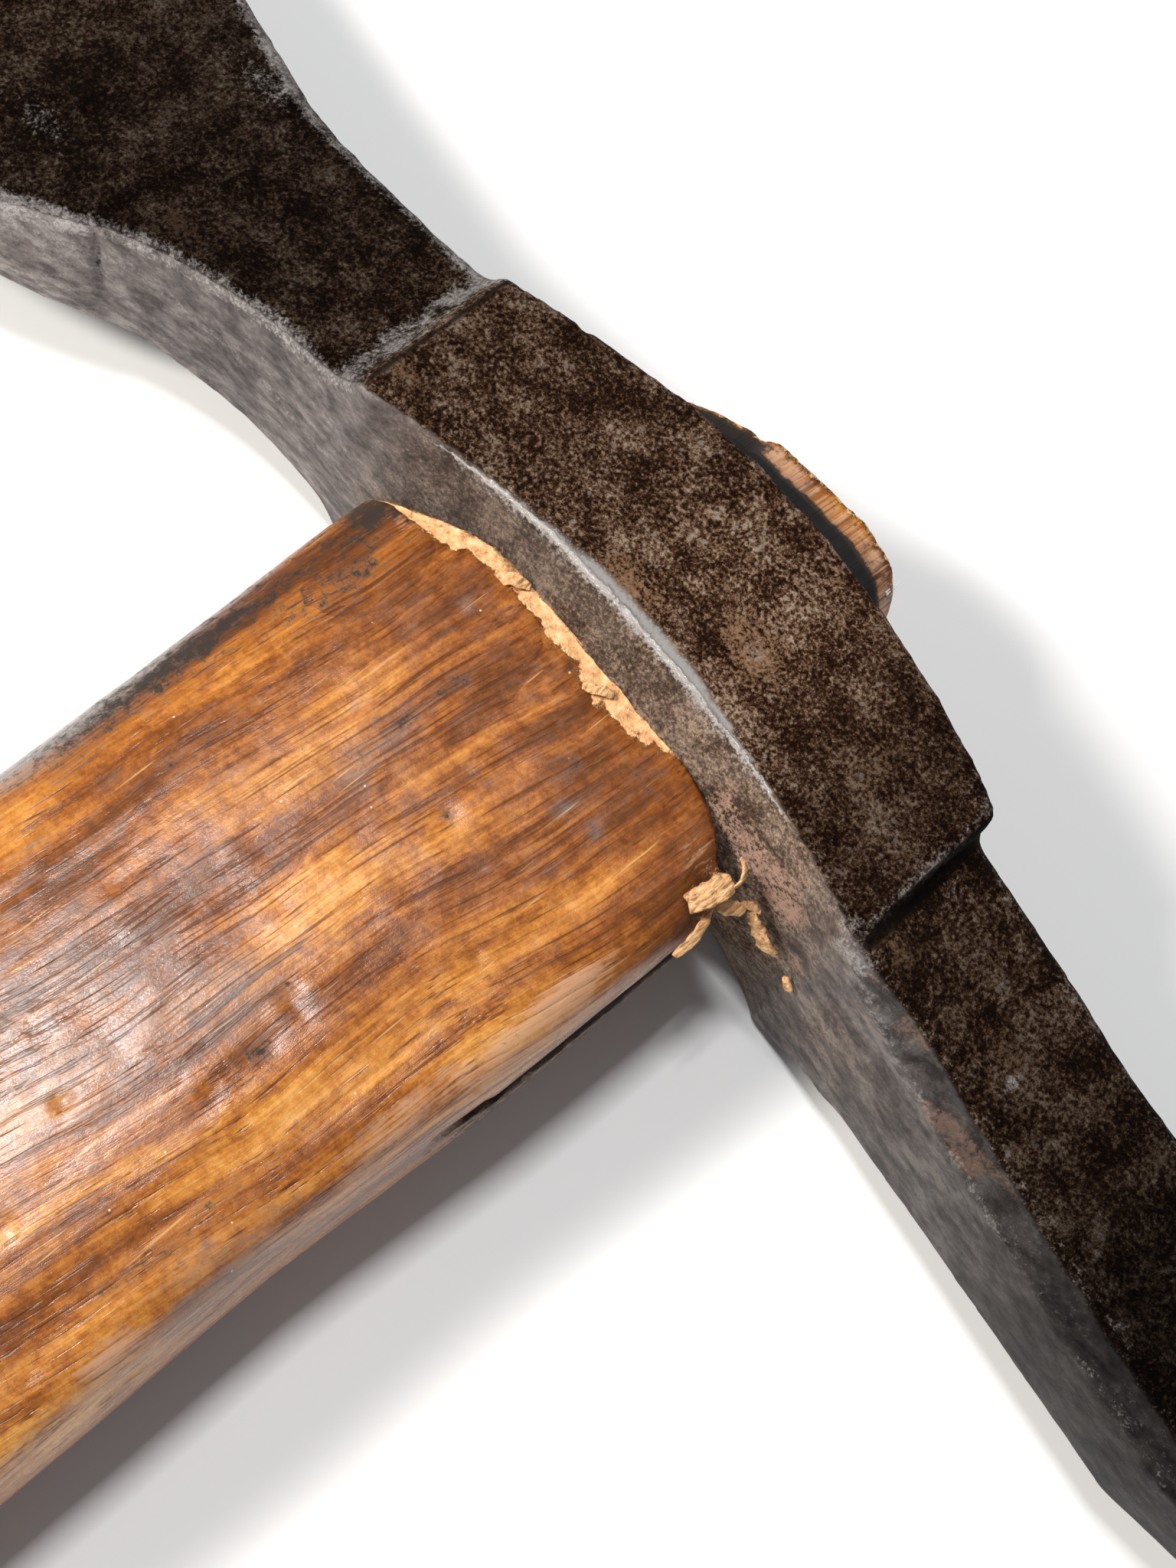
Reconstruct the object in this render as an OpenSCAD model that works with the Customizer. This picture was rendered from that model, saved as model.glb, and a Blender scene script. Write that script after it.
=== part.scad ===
// Chipping hammer: a forged head with a flared blade and a pick, wedged on a hardwood handle.
// The hammer lies on one cheek. +Z is up, +Y runs up the handle towards the top of the head,
// +X runs towards the pick. The origin is on the lower cheek, under the middle of the eye.

/* [Eye block] */
// Thickness of the eye block, from cheek to cheek
block_t = 24; // [20:0.5:32]
// Reach of the eye block from the eye's middle towards the blade
block_blade = 20; // [17:0.5:28]
// Reach of the eye block from the eye's middle towards the pick
block_pick = 24; // [17:0.5:30]
// Depth of the eye block from the eye's middle down to its underside
block_under = 8; // [6:0.5:12]
// Depth of the eye block from the eye's middle up to its crown
block_crown = 8.4; // [6:0.2:12]
// How far the crown falls from its middle to the ends of the block
crown_fall = 4.2; // [1:0.2:5]
// Rounding of the block's outer corners
block_round = 1.2; // [0.4:0.2:2]
// Depth of the hollow ground into the underside along each cheek
hollow_d = 3.8; // [1:0.2:5]
// Width of that hollow at the eye, measured across the thickness
hollow_w = 5; // [2:0.5:5.5]

/* [Eye] */
// Length of the eye along the head
eye_l = 20.6; // [16:0.2:26]
// Width of the eye across the thickness
eye_w = 12.8; // [10:0.2:15]
// Corner radius of the eye
eye_round = 4; // [1:0.5:4.5]

/* [Blade] */
// Reach of the cutting edge from the eye's middle
blade_reach = 74; // [62:1:95]
// Depth of the blade's neck, from underside to top
blade_neck_d = 12.4; // [10:0.2:14]
// How far the neck's underside sweeps towards the handle before the flare
blade_neck_sweep = 3.6; // [0:0.2:6]
// How far the neck's top rises before the flare
blade_neck_rise = 0.5; // [0:0.1:2]
// Where the flare and the ground bevel start, from the eye's middle
blade_flare_at = 39.5; // [33:0.5:44]
// Growth of the flare towards the handle
blade_flare_under = 10.4; // [4:0.2:16]
// Growth of the flare away from the handle
blade_flare_top = 8.2; // [3:0.2:12]
// Thickness of the blade where it leaves the block
blade_root_t = 18.6; // [14:0.2:20]
// Thickness of the blade where the ground bevel starts
blade_bevel_t = 12.2; // [8:0.2:14]
// Thickness of the cutting edge
blade_edge_t = 1.0; // [0.6:0.1:2]
// Length of the worn ramp where the blade's flats rise to the block's cheeks
blade_ramp = 2.4; // [1:0.2:4]

/* [Pick] */
// Reach of the pick's tip from the eye's middle
pick_reach = 92; // [80:1:115]
// Where the long taper to the tip starts, from the eye's middle
pick_taper_at = 58; // [48:1:70]
// Depth of the pick where it leaves the block
pick_root_d = 11.4; // [9:0.2:13]
// Depth of the pick where the long taper starts
pick_mid_d = 13; // [9:0.2:15]
// Thickness of the pick's top where it leaves the block
pick_root_t = 20.4; // [14:0.2:20.8]
// Thickness of the pick where the long taper starts
pick_mid_t = 13.2; // [10:0.2:14]
// Thickness and depth of the blunt tip
pick_tip_t = 2.4; // [1.6:0.2:4]
// How far the pick's underside has dropped where the long taper starts
pick_drop = 5.2; // [0:0.2:8]
// Width of the hammered chamfer along the pick's underside edges
pick_chamfer = 2; // [0.6:0.2:3]

/* [Handle] */
// Length of the handle below the head's underside
handle_l = 285; // [230:5:380]
// Width of the handle's shoulder under the head
shoulder_w = 33.8; // [28:0.2:38]
// Thickness of the handle's shoulder under the head
shoulder_t = 17.6; // [15:0.2:22]
// Width of the handle's waist
waist_w = 28.5; // [24:0.5:34]
// Thickness of the handle's waist
waist_t = 19.5; // [16:0.5:23]
// Width of the handle's grip swell
grip_w = 33; // [28:0.5:38]
// Height by which the tenon stands out of the top of the head
stub_h = 5.4; // [1:0.2:8]
// Gap between the tenon and the wall of the eye
tenon_gap = 0.1; // [0.05:0.05:0.3]

/* [Wedges] */
// Depth of the saw kerf in the tenon
kerf_d = 15; // [10:0.5:18]
// Thickness of the wood wedge at the end of the tenon
wood_wedge_t = 2.8; // [2:0.2:4]
// Width of the steel wedge, across the wood wedge
steel_wedge_w = 9; // [6:0.5:10]
// Length of the steel wedge
steel_wedge_l = 11; // [6:0.5:14]
// Thickness of the steel wedge at its head
steel_wedge_t = 2.2; // [1.6:0.2:3]
// Gap all round each wedge
wedge_gap = 0.05; // [0.03:0.01:0.1]

/* [Hidden] */

steel_colour = "#3a2e25";
wood_colour = "#a8672c";
fresh_wood_colour = "#c89a5e";
wedge_colour = "#6d6a66";

arc_steps = 16;      // straight pieces in each curved outline
arm_steps = 18;      // cross-sections along each arm
overlap = 1;         // how far an arm runs into the block, so that the forging is one solid
mid_z = block_t / 2; // height of the head's and the handle's middle plane
block_l = block_blade + block_pick;
grip_t = block_t;    // the swell is as thick as the block, so the hammer lies flat on both

// The crown is an arc over the block: height of the crown above the eye's middle at x.
function crown_y(x) =
    let (half = block_l / 2, from_mid = x - (block_pick - block_blade) / 2)
    block_crown - crown_fall * pow(min(1, abs(from_mid) / half), 2);

// The hollow along each cheek dies out at both ends of the block: 1 at the eye, 0 at the ends.
function hollow_share(x) =
    let (half = block_l / 2, from_mid = x - (block_pick - block_blade) / 2)
    1 - pow(min(1, abs(from_mid) / half), 2);

// ---------------------------------------------------------------- head

// A closed solid through a list of cross-sections, each a ring with the same number of points.
module loft(rings) {
    count = len(rings[0]);
    last = len(rings) - 1;
    points = [for (ring = rings) each ring];
    sides = [
        for (i = [0:last - 1], j = [0:count - 1])
            let (k = (j + 1) % count, a = i * count, b = (i + 1) * count)
                each [[a + j, b + k, a + k], [a + j, b + j, b + k]]
    ];
    first_cap = [for (j = [0:count - 1]) j];
    last_cap = [for (j = [count - 1:-1:0]) last * count + j];
    polyhedron(points, concat(sides, [first_cap, last_cap]));
}

// A cross-section of an arm at x, with its own underside and top and its thickness at each, a
// chamfer under and a small one above, and a low ridge along the middle of the underside.
function arm_ring(x, under, top, under_t, top_t, chamfer, small, ridge) =
    [for (p = [
        [under - ridge, 0],
        [under, under_t / 2 - chamfer],
        [under + chamfer, under_t / 2],
        [top - small, top_t / 2],
        [top, top_t / 2 - small],
        [top, small - top_t / 2],
        [top - small, -top_t / 2],
        [under + chamfer, -under_t / 2],
        [under, chamfer - under_t / 2],
    ]) [x, p[0], mid_z + p[1]]];

// Blade: the neck's underside sweeps down in a curve, then it fans out quickly and the top slowly.
blade_top_root = crown_y(-block_blade) + 0.6;
blade_under_root = blade_top_root - blade_neck_d;
function blade_spread(s) = max(0, s - blade_flare_at) / (blade_reach - blade_flare_at);
function blade_neck(s) = min(1, max(0, s - block_blade) / (blade_flare_at - block_blade));
function blade_under(s) =
    blade_under_root
    - blade_neck_sweep * pow(blade_neck(s), 2.5)
    - blade_flare_under * (1 - pow(1 - blade_spread(s), 2.2));
function blade_top(s) =
    blade_top_root
    + blade_neck_rise * pow(blade_neck(s), 5)
    + blade_flare_top * (1 - pow(1 - blade_spread(s), 1.2));
function blade_flat_t(s) = s < blade_flare_at
    ? blade_root_t + (blade_bevel_t - blade_root_t) * (s - block_blade) / (blade_flare_at - block_blade)
    : blade_bevel_t + (blade_edge_t - blade_bevel_t) * blade_spread(s);
function blade_t(s) =
    blade_flat_t(s)
    + (block_t - 0.4 - blade_root_t) * pow(max(0, 1 - (s - block_blade) / blade_ramp), 1.5);

module blade_arm() {
    start = block_blade - overlap;
    ramp_steps = 4;
    neck_steps = 9;
    neck_from = block_blade + blade_ramp;
    stations = concat(
        [start],
        [for (i = [0:ramp_steps]) block_blade + blade_ramp * i / ramp_steps],
        [for (i = [1:neck_steps]) neck_from + (blade_flare_at - neck_from) * i / neck_steps],
        [for (i = [1:arm_steps]) blade_flare_at + (blade_reach - blade_flare_at) * i / arm_steps]
    );
    loft([for (s = stations)
        let (t = blade_t(max(s, block_blade)), edge = min(0.6, t / 4))
            arm_ring(-s, blade_under(s), blade_top(s), t, t, edge, edge, min(0.5, t / 20))]);
}

// Pick: squarish, a little wedge-shaped in section at the block, then a long taper to a blunt tip.
pick_top_root = crown_y(block_pick) - 1.0;
pick_under_root = pick_top_root - pick_root_d;
function pick_near(s) = min(1, max(0, s - block_pick) / (pick_taper_at - block_pick));
function pick_far(s) = max(0, s - pick_taper_at) / (pick_reach - pick_taper_at);
function pick_under(s) =
    pick_under_root - pick_drop * pick_near(s)
    + (pick_mid_d - pick_tip_t) * 0.3 * pow(pick_far(s), 1.3);
function pick_depth(s) =
    pick_root_d + (pick_mid_d - pick_root_d) * pick_near(s) + (pick_tip_t - pick_mid_d) * pick_far(s);
function pick_t(s) =
    pick_mid_t + (pick_root_t - pick_mid_t) * pow(1 - pick_near(s), 1.6)
    + (pick_tip_t - pick_mid_t) * pick_far(s);
// Near the block the pick is thicker along its underside, up to the block's own thickness.
function pick_flank(s) =
    (block_t - 0.6 - pick_root_t) * pow(max(0, 1 - (s - block_pick) / 12), 2);

module pick_arm() {
    start = block_pick - overlap;
    stations = concat(
        [start],
        [for (i = [0:arm_steps / 2]) block_pick + (pick_taper_at - block_pick) * 2 * i / arm_steps],
        [for (i = [1:arm_steps / 2]) pick_taper_at + (pick_reach - pick_taper_at) * 2 * i / arm_steps]
    );
    loft([for (s = [for (i = [len(stations) - 1:-1:0]) stations[i]])
        let (
            place = max(s, block_pick),
            t = pick_t(place),
            under = pick_under(place),
            chamfer = min(pick_chamfer * min(1, 0.2 + (s - start) / 8), t / 4),
            small = min(0.6, t / 5)
        )
            arm_ring(s, under, under + pick_depth(place), t + pick_flank(place), t,
                chamfer, small, min(0.3, t / 20))]);
}

// Outline of the eye block seen on its cheek: flat underside, arched crown, rounded corners.
module block_outline() {
    crown = [
        for (i = [0:arc_steps])
            let (x = block_pick - block_l * i / arc_steps)
                [x, crown_y(x)]
    ];
    offset(block_round, $fn = 24)
        offset(-block_round)
            polygon(concat([[-block_blade, -block_under], [block_pick, -block_under]], crown));
}

// The hollow under one cheek: its inner line is a pointed arch on the underside, which meets the
// other hollow at the ends of the block, and its outer line is an arc along the cheek.
module cheek_hollow() {
    drop = 3; // how far the cutting solid runs past the block
    loft([
        for (i = [0:arc_steps])
            let (
                x = -block_blade + block_l * (0.02 + 0.96 * i / arc_steps),
                share = hollow_share(x),
                inner = (mid_z - hollow_w) * pow(share, 0.7),
                rise = hollow_d * share
            )
                [
                    [x, -block_under - 0.01, mid_z + inner],
                    [x, -block_under + rise, block_t + 0.01],
                    [x, -block_under + rise, block_t + drop],
                    [x, -block_under - drop, block_t + drop],
                    [x, -block_under - drop, mid_z + inner],
                ]
    ]);
}

// A rounded oblong seen from the top of the head, centred on the eye.
module eye_outline(length, width, radius) {
    square([length - 2 * radius, width], center = true);
    square([length, width - 2 * radius], center = true);
    for (x = [-1, 1], z = [-1, 1])
        translate([x * (length / 2 - radius), z * (width / 2 - radius)])
            circle(radius, $fn = 48);
}

// An outline in x and thickness, pushed along the handle from one depth to another.
module along_handle(from, to) {
    translate([0, to, mid_z])
        rotate([90, 0, 0])
            linear_extrude(to - from)
                children();
}

module head() {
    color(steel_colour)
        difference() {
            union() {
                linear_extrude(block_t) block_outline();
                blade_arm();
                pick_arm();
            }
            cheek_hollow();
            translate([0, 0, block_t]) mirror([0, 0, 1]) cheek_hollow();
            along_handle(-block_under - 5, block_crown + 5) eye_outline(eye_l, eye_w, eye_round);
        }
}

// -------------------------------------------------------------- handle

// Stations along the handle: share of its length, width, thickness, squareness of the section.
handle_stations = [
    [0, shoulder_w, shoulder_t, 3.4],
    [0.15, shoulder_w - 1.2, shoulder_t + 0.6, 3.0],
    [0.45, waist_w, waist_t, 2.5],
    [0.62, waist_w, waist_t + 0.4, 2.3],
    [0.88, grip_w, grip_t, 2.3],
    [0.975, grip_w - 1.5, grip_t - 1.5, 2.3],
    [1, grip_w - 7, grip_t - 6, 2.2],
];

// A column of the stations at share u, eased between neighbours.
function eased(u, column, i = 0) =
    i >= len(handle_stations) - 2 || u <= handle_stations[i + 1][0]
        ? let (
            a = handle_stations[i],
            b = handle_stations[i + 1],
            t = (u - a[0]) / (b[0] - a[0]),
            blend = t * t * (3 - 2 * t)
        )
            a[column] + (b[column] - a[column]) * blend
        : eased(u, column, i + 1);

// A ring of the handle: a rounded oblong at the shoulder, an oval at the grip.
ring_points = 36;
function handle_ring(y, width, thick, square) =
    [for (j = [0:ring_points - 1])
        let (a = 360 * (j + 0.5) / ring_points, c = cos(a), s = sin(a))
            [
                width / 2 * sign(c) * pow(abs(c), 2 / square),
                y,
                mid_z + thick / 2 * sign(s) * pow(abs(s), 2 / square)
            ]];

handle_rings = 30;
module handle_blank() {
    loft([
        for (i = [0:handle_rings])
            let (u = pow(i / handle_rings, 0.9))
                handle_ring(-block_under - handle_l * u, eased(u, 1), eased(u, 2), eased(u, 3))
    ]);
}

// The stub stands out of the crown; the tenon is one straight oblong from shoulder to stub end.
stub_end = block_crown + stub_h;
tenon_l = eye_l - 2 * tenon_gap;
tenon_w = eye_w - 2 * tenon_gap;
tenon_round = eye_round - tenon_gap;

module tenon() {
    along_handle(-block_under - overlap, stub_end) eye_outline(tenon_l, tenon_w, tenon_round);
}

module handle() {
    color(wood_colour)
        difference() {
            union() {
                handle_blank();
                tenon();
            }
            wood_wedge_shape(wedge_gap);
            steel_wedge_shape(wedge_gap);
        }
}

// -------------------------------------------------------------- wedges

// The wood wedge fills the kerf, along the eye's length; it is thin at the kerf's floor.
module wood_wedge_shape(gap) {
    thin = wood_wedge_t / 4;
    length = tenon_l + 2 * gap;
    translate([-length / 2, 0, mid_z])
        rotate([0, 90, 0])
            linear_extrude(length)
                polygon([
                    [-wood_wedge_t / 2 - gap, stub_end + gap],
                    [-thin / 2 - gap, stub_end - kerf_d - gap],
                    [thin / 2 + gap, stub_end - kerf_d - gap],
                    [wood_wedge_t / 2 + gap, stub_end + gap],
                ]);
}

// The steel wedge crosses the wood wedge at a right angle and comes to a blunt edge.
module steel_wedge_shape(gap) {
    blunt = 0.5;
    translate([0, 0, mid_z - steel_wedge_w / 2 - gap])
        linear_extrude(steel_wedge_w + 2 * gap)
            polygon([
                [-steel_wedge_t / 2 - gap, stub_end + gap],
                [-blunt / 2 - gap, stub_end - steel_wedge_l - gap],
                [blunt / 2 + gap, stub_end - steel_wedge_l - gap],
                [steel_wedge_t / 2 + gap, stub_end + gap],
            ]);
}

// The wood wedge is trimmed to the tenon's outline, and split by the steel wedge's slot.
module wood_wedge() {
    color(fresh_wood_colour)
        difference() {
            intersection() {
                wood_wedge_shape(0);
                along_handle(stub_end - kerf_d, stub_end) eye_outline(tenon_l, tenon_w, tenon_round);
            }
            steel_wedge_shape(wedge_gap);
        }
}

module steel_wedge() {
    color(wedge_colour) steel_wedge_shape(0);
}

head();
handle();
wood_wedge();
steel_wedge();
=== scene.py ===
"""Chipping hammer: a forged head, a worn hardwood handle and its wedges, lying on one cheek."""

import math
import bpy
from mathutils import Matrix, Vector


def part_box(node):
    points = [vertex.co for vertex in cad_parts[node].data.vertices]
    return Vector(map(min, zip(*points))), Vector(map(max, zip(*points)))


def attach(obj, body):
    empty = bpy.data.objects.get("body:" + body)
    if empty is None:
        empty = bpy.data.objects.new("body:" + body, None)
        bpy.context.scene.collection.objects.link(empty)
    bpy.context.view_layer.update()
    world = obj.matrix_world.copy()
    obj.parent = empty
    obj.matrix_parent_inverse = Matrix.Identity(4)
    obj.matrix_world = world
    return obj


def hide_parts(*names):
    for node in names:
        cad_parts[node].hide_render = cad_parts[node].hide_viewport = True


bl_info = {
    "name": "Chipping Hammer",
    "version": (1, 0, 0),
    "blender": (4, 5, 0),
    "location": "3D View > Sidebar > Hammer",
    "description": "Builds the looks of a forged chipping hammer around its CAD parts",
    "category": "Object",
}

from types import SimpleNamespace

import bpy
import numpy as np
from mathutils import Matrix, Vector

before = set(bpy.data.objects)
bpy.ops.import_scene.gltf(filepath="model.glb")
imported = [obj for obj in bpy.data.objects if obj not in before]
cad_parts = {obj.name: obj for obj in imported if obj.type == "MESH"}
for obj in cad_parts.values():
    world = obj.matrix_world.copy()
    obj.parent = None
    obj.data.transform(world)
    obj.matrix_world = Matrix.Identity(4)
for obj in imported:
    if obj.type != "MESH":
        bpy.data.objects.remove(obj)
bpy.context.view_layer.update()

MM = 0.001  # one millimetre in the scene's metres
HEAD_LOW, HEAD_HIGH = (np.array(corner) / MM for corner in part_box("head"))
HANDLE_LOW, HANDLE_HIGH = (np.array(corner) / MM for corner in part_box("handle"))
MID_Z = float(HEAD_LOW[2] + HEAD_HIGH[2]) / 2
STUB_END = float(HANDLE_HIGH[1])
BREAK_FROM = 4.0  # where the stub starts to be shortened to its broken end, mm
CHEEK_RIM = 5.0  # width of the band along each cheek where the underside is hollowed, mm

# squareness of the handle's sections: 2 is an oval, and more is nearer to a rectangle
SHOULDER_SQUARE = 3.4
TENON_SQUARE = 4.5

# the handle's mesh: points round it, the gap between its rings near the head, how far down
# that gap holds and the widest gap, in mm
RING_POINTS = 216
RING_GAP = 0.36
ROUGH_LENGTH = 75.0
WIDEST_GAP = 2.4

# the camera: its place in mm, the way it looks and the way that is up for it
CAMERA_AT = (22.7, -52.1, 142.4)
CAMERA_LOOK = (-0.1396, 0.3072, -0.9413)
CAMERA_UP = (-0.7408, 0.5985, 0.3052)
CAMERA_SHIFT = (0.0164, -0.0176)
FLOOR_HALF = 1.5  # half the floor's side, in metres


def rgb(code):
    """Linear colour of an sRGB hex code."""
    parts = [int(code[i:i + 2], 16) / 255 for i in (1, 3, 5)]
    return tuple(c / 12.92 if c <= 0.04045 else ((c + 0.055) / 1.055) ** 2.4 for c in parts)


def rgba(code):
    """Linear colour of an sRGB hex code, with full alpha."""
    return rgb(code) + (1.0,)


# ------------------------------------------------------------------ what a user would change


class HammerSizes(bpy.types.PropertyGroup):
    """Sizes of the hammer's worn details, in millimetres"""

    under: bpy.props.FloatProperty(
        name="Underside", default=8.0, min=5.0, max=12.0,
        description="From the eye's middle down to the head's underside, mm")
    block_blade: bpy.props.FloatProperty(
        name="Block to blade", default=20.0, min=15.0, max=30.0,
        description="Reach of the eye block towards the blade, mm")
    block_pick: bpy.props.FloatProperty(
        name="Block to pick", default=24.0, min=15.0, max=30.0,
        description="Reach of the eye block towards the pick, mm")
    hollow: bpy.props.FloatProperty(
        name="Hollow", default=3.8, min=0.5, max=5.0,
        description="Depth of the hollow under each cheek, mm")
    bevel_at: bpy.props.FloatProperty(
        name="Bevel start", default=39.5, min=33.0, max=44.0,
        description="From the eye's middle to where the blade's ground bevel starts, mm")
    voxel: bpy.props.FloatProperty(
        name="Head grain", default=0.36, min=0.3, max=1.0,
        description="Size of the head's mesh cells, mm")
    shoulder_w: bpy.props.FloatProperty(
        name="Shoulder width", default=33.8, min=28.0, max=38.0,
        description="Width of the handle under the head, mm")
    shoulder_t: bpy.props.FloatProperty(
        name="Shoulder thickness", default=17.6, min=15.0, max=22.0,
        description="Thickness of the handle under the head, mm")
    waist_w: bpy.props.FloatProperty(
        name="Waist width", default=28.5, min=24.0, max=34.0,
        description="Width of the handle's waist, mm")
    waist_t: bpy.props.FloatProperty(
        name="Waist thickness", default=19.5, min=16.0, max=23.0,
        description="Thickness of the handle's waist, mm")
    tenon_l: bpy.props.FloatProperty(
        name="Tenon length", default=20.3, min=14.0, max=22.0,
        description="Length of the tenon along the head, mm")
    tenon_w: bpy.props.FloatProperty(
        name="Tenon width", default=12.5, min=9.0, max=15.0,
        description="Width of the tenon across the head's thickness, mm")
    collar: bpy.props.FloatProperty(
        name="Crushed collar", default=1.3, min=0.0, max=4.0,
        description="Width of the band of crushed wood under the head, mm")


class HammerColours(bpy.types.PropertyGroup):
    """Colours of the hammer's finishes"""

    scale: bpy.props.FloatVectorProperty(
        name="Forge scale", subtype="COLOR", size=3, min=0, max=1, default=rgb("#5e4b3e"),
        description="Dark scale on the head's cheeks")
    steel: bpy.props.FloatVectorProperty(
        name="Worn steel", subtype="COLOR", size=3, min=0, max=1, default=rgb("#8c8482"),
        description="Smooth grey underside of the head")
    wood: bpy.props.FloatVectorProperty(
        name="Oiled wood", subtype="COLOR", size=3, min=0, max=1, default=rgb("#b06f37"),
        description="Body of the handle")
    fresh: bpy.props.FloatVectorProperty(
        name="Fresh wood", subtype="COLOR", size=3, min=0, max=1, default=rgb("#eebb84"),
        description="Crushed and splintered wood under the head")


class HammerStage(bpy.types.PropertyGroup):
    """Camera, lights and floor"""

    lens: bpy.props.FloatProperty(
        name="Lens", default=50.98, min=20.0, max=200.0, subtype="DISTANCE_CAMERA",
        description="Focal length of the camera")
    key_power: bpy.props.FloatProperty(
        name="Key light", default=6.1, min=0.0, max=100.0, subtype="POWER",
        description="Power of the key light")
    top_power: bpy.props.FloatProperty(
        name="Top light", default=2.25, min=0.0, max=10.0, subtype="POWER",
        description="Power of the small soft light above, which the oiled wood mirrors")
    fill_strength: bpy.props.FloatProperty(
        name="Fill", default=0.2, min=0.0, max=3.0, description="Strength of the even fill light")
    floor: bpy.props.FloatVectorProperty(
        name="Floor", subtype="COLOR", size=3, min=0, max=1, default=rgb("#f4f4f4"),
        description="Colour of the floor")


# ------------------------------------------------------------------ repeatable noise, in mm


def lattice(cells, seed):
    """A repeatable value from 0 to 1 for each whole-number cell."""
    mask = 0xFFFFFFFF
    mixed = (cells[:, 0] * 374761393 + cells[:, 1] * 668265263 + cells[:, 2] * 1440662683
             + seed * 974711) & mask
    mixed = ((mixed ^ (mixed >> 13)) * 1274126177) & mask
    return ((mixed ^ (mixed >> 16)) & 0xFFFF) / 65535.0


def noise(points, size, seed=0):
    """Smooth noise from -1 to 1 whose lumps measure about size: a number, or one per axis."""
    scaled = points / np.asarray(size, dtype=float) + 1000.5
    base = np.floor(scaled).astype(np.int64)
    part = scaled - base
    part = part * part * (3 - 2 * part)
    total = np.zeros(len(points))
    for corner in np.ndindex(2, 2, 2):
        step = np.array(corner)
        weight = np.prod(np.where(step == 1, part, 1 - part), axis=1)
        total += weight * lattice(base + step, seed)
    return total * 2 - 1


def fractal(points, size, octaves=3, seed=0):
    """Noise with finer and fainter copies of itself added."""
    size = np.asarray(size, dtype=float)
    total = np.zeros(len(points))
    gain = 1.0
    for octave in range(octaves):
        total += gain * noise(points, size / 2 ** octave, seed + 17 * octave)
        gain *= 0.5
    return total / (2 - gain * 2)


def smooth(value, low, high):
    """0 below low, 1 above high, and an even S between."""
    t = np.clip((value - low) / (high - low), 0, 1)
    return t * t * (3 - 2 * t)


def marks(points, spots):
    """Soft-edged spots, each given by its middle in mm, its half sizes by axis and its strength."""
    total = np.zeros(len(points))
    for middle, sizes, strength in spots:
        away = (points - np.array(middle)) / np.array(sizes)
        total += strength * np.exp(-np.einsum("ij,ij->i", away, away))
    return total


# ------------------------------------------------------------------ meshes


def new_piece(name, points_mm, faces, masks=None):
    """A smooth-shaded object from points in mm; masks are one value per point, by name."""
    mesh = bpy.data.meshes.new(name)
    mesh.from_pydata((np.asarray(points_mm) * MM).tolist(), [], faces)
    mesh.validate()
    mesh.shade_smooth()
    for mask, values in (masks or {}).items():
        layer = mesh.attributes.new(mask, "FLOAT", "POINT")
        layer.data.foreach_set("value", np.asarray(values, dtype=np.float32))
    piece = bpy.data.objects.new(name, mesh)
    bpy.context.scene.collection.objects.link(piece)
    return piece


def mesh_rows(items, key, width, kind=float):
    """One property of all of a mesh's items, as an array with a row for each."""
    flat = np.empty(len(items) * width, dtype=kind)
    items.foreach_get(key, flat)
    return flat.reshape(-1, width)


def tube_faces(rings, sides):
    """Faces of a stack of rings of points, closed at both ends."""
    faces = []
    for low in range(0, (rings - 1) * sides, sides):
        for j in range(sides):
            k = (j + 1) % sides
            faces.append((low + j, low + k, low + sides + k, low + sides + j))
    faces.append(tuple(reversed(range(sides))))
    faces.append(tuple((rings - 1) * sides + j for j in range(sides)))
    return faces


def neighbour_mean(values, edges):
    """For each point, the mean of its neighbours' values."""
    count = len(values)
    ends = np.concatenate([edges[:, 0], edges[:, 1]])
    others = np.concatenate([edges[:, 1], edges[:, 0]])
    degree = np.maximum(np.bincount(ends, minlength=count), 1)
    if values.ndim == 1:
        return np.bincount(ends, weights=values[others], minlength=count) / degree
    return np.stack([np.bincount(ends, weights=values[others, k], minlength=count) / degree
                     for k in range(values.shape[1])], axis=1)


def relaxed(values, edges, rounds):
    """Values evened out over the mesh, a given number of rounds."""
    for _ in range(rounds):
        values = values * 0.5 + neighbour_mean(values, edges) * 0.5
    return values


def finish_piece(piece, node, material):
    """Stands the piece in for its CAD node and gives it its material."""
    piece.data.materials.clear()
    piece.data.materials.append(material)
    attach(piece, "root")
    if node:
        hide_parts(node)


# ------------------------------------------------------------------ materials


def add(tree, kind, inputs=None, stops=None, out=0, **settings):
    """Adds a node with its settings and links, and returns one of its outputs."""
    node = tree.nodes.new(kind)
    for key, value in settings.items():
        setattr(node, key, value)
    for key, value in (inputs or {}).items():
        if isinstance(value, bpy.types.NodeSocket):
            tree.links.new(value, node.inputs[key])
        else:
            node.inputs[key].default_value = value
    if stops:
        ramp = node.color_ramp
        while len(ramp.elements) < len(stops):
            ramp.elements.new(0.5)
        for element, (place, colour) in zip(ramp.elements, stops):
            element.position = place
            element.color = rgba(colour)
    return node.outputs[out]


def new_material(name):
    """An empty node material, with its tree, its coordinates in mm and its shader."""
    material = bpy.data.materials.new(name)
    material.use_nodes = True
    tree = material.node_tree
    tree.nodes.clear()
    place = add(tree, "ShaderNodeTexCoord", out="Object")
    coords = add(tree, "ShaderNodeVectorMath", {0: place, "Scale": 1 / MM}, operation="SCALE")
    shader = tree.nodes.new("ShaderNodeBsdfPrincipled")
    output = tree.nodes.new("ShaderNodeOutputMaterial")
    tree.links.new(shader.outputs[0], output.inputs["Surface"])
    return material, tree, coords, shader


def masks_of(tree, *names):
    """The values that a piece's mesh carries under each name."""
    return [add(tree, "ShaderNodeAttribute", attribute_name=name, out="Fac") for name in names]


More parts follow.
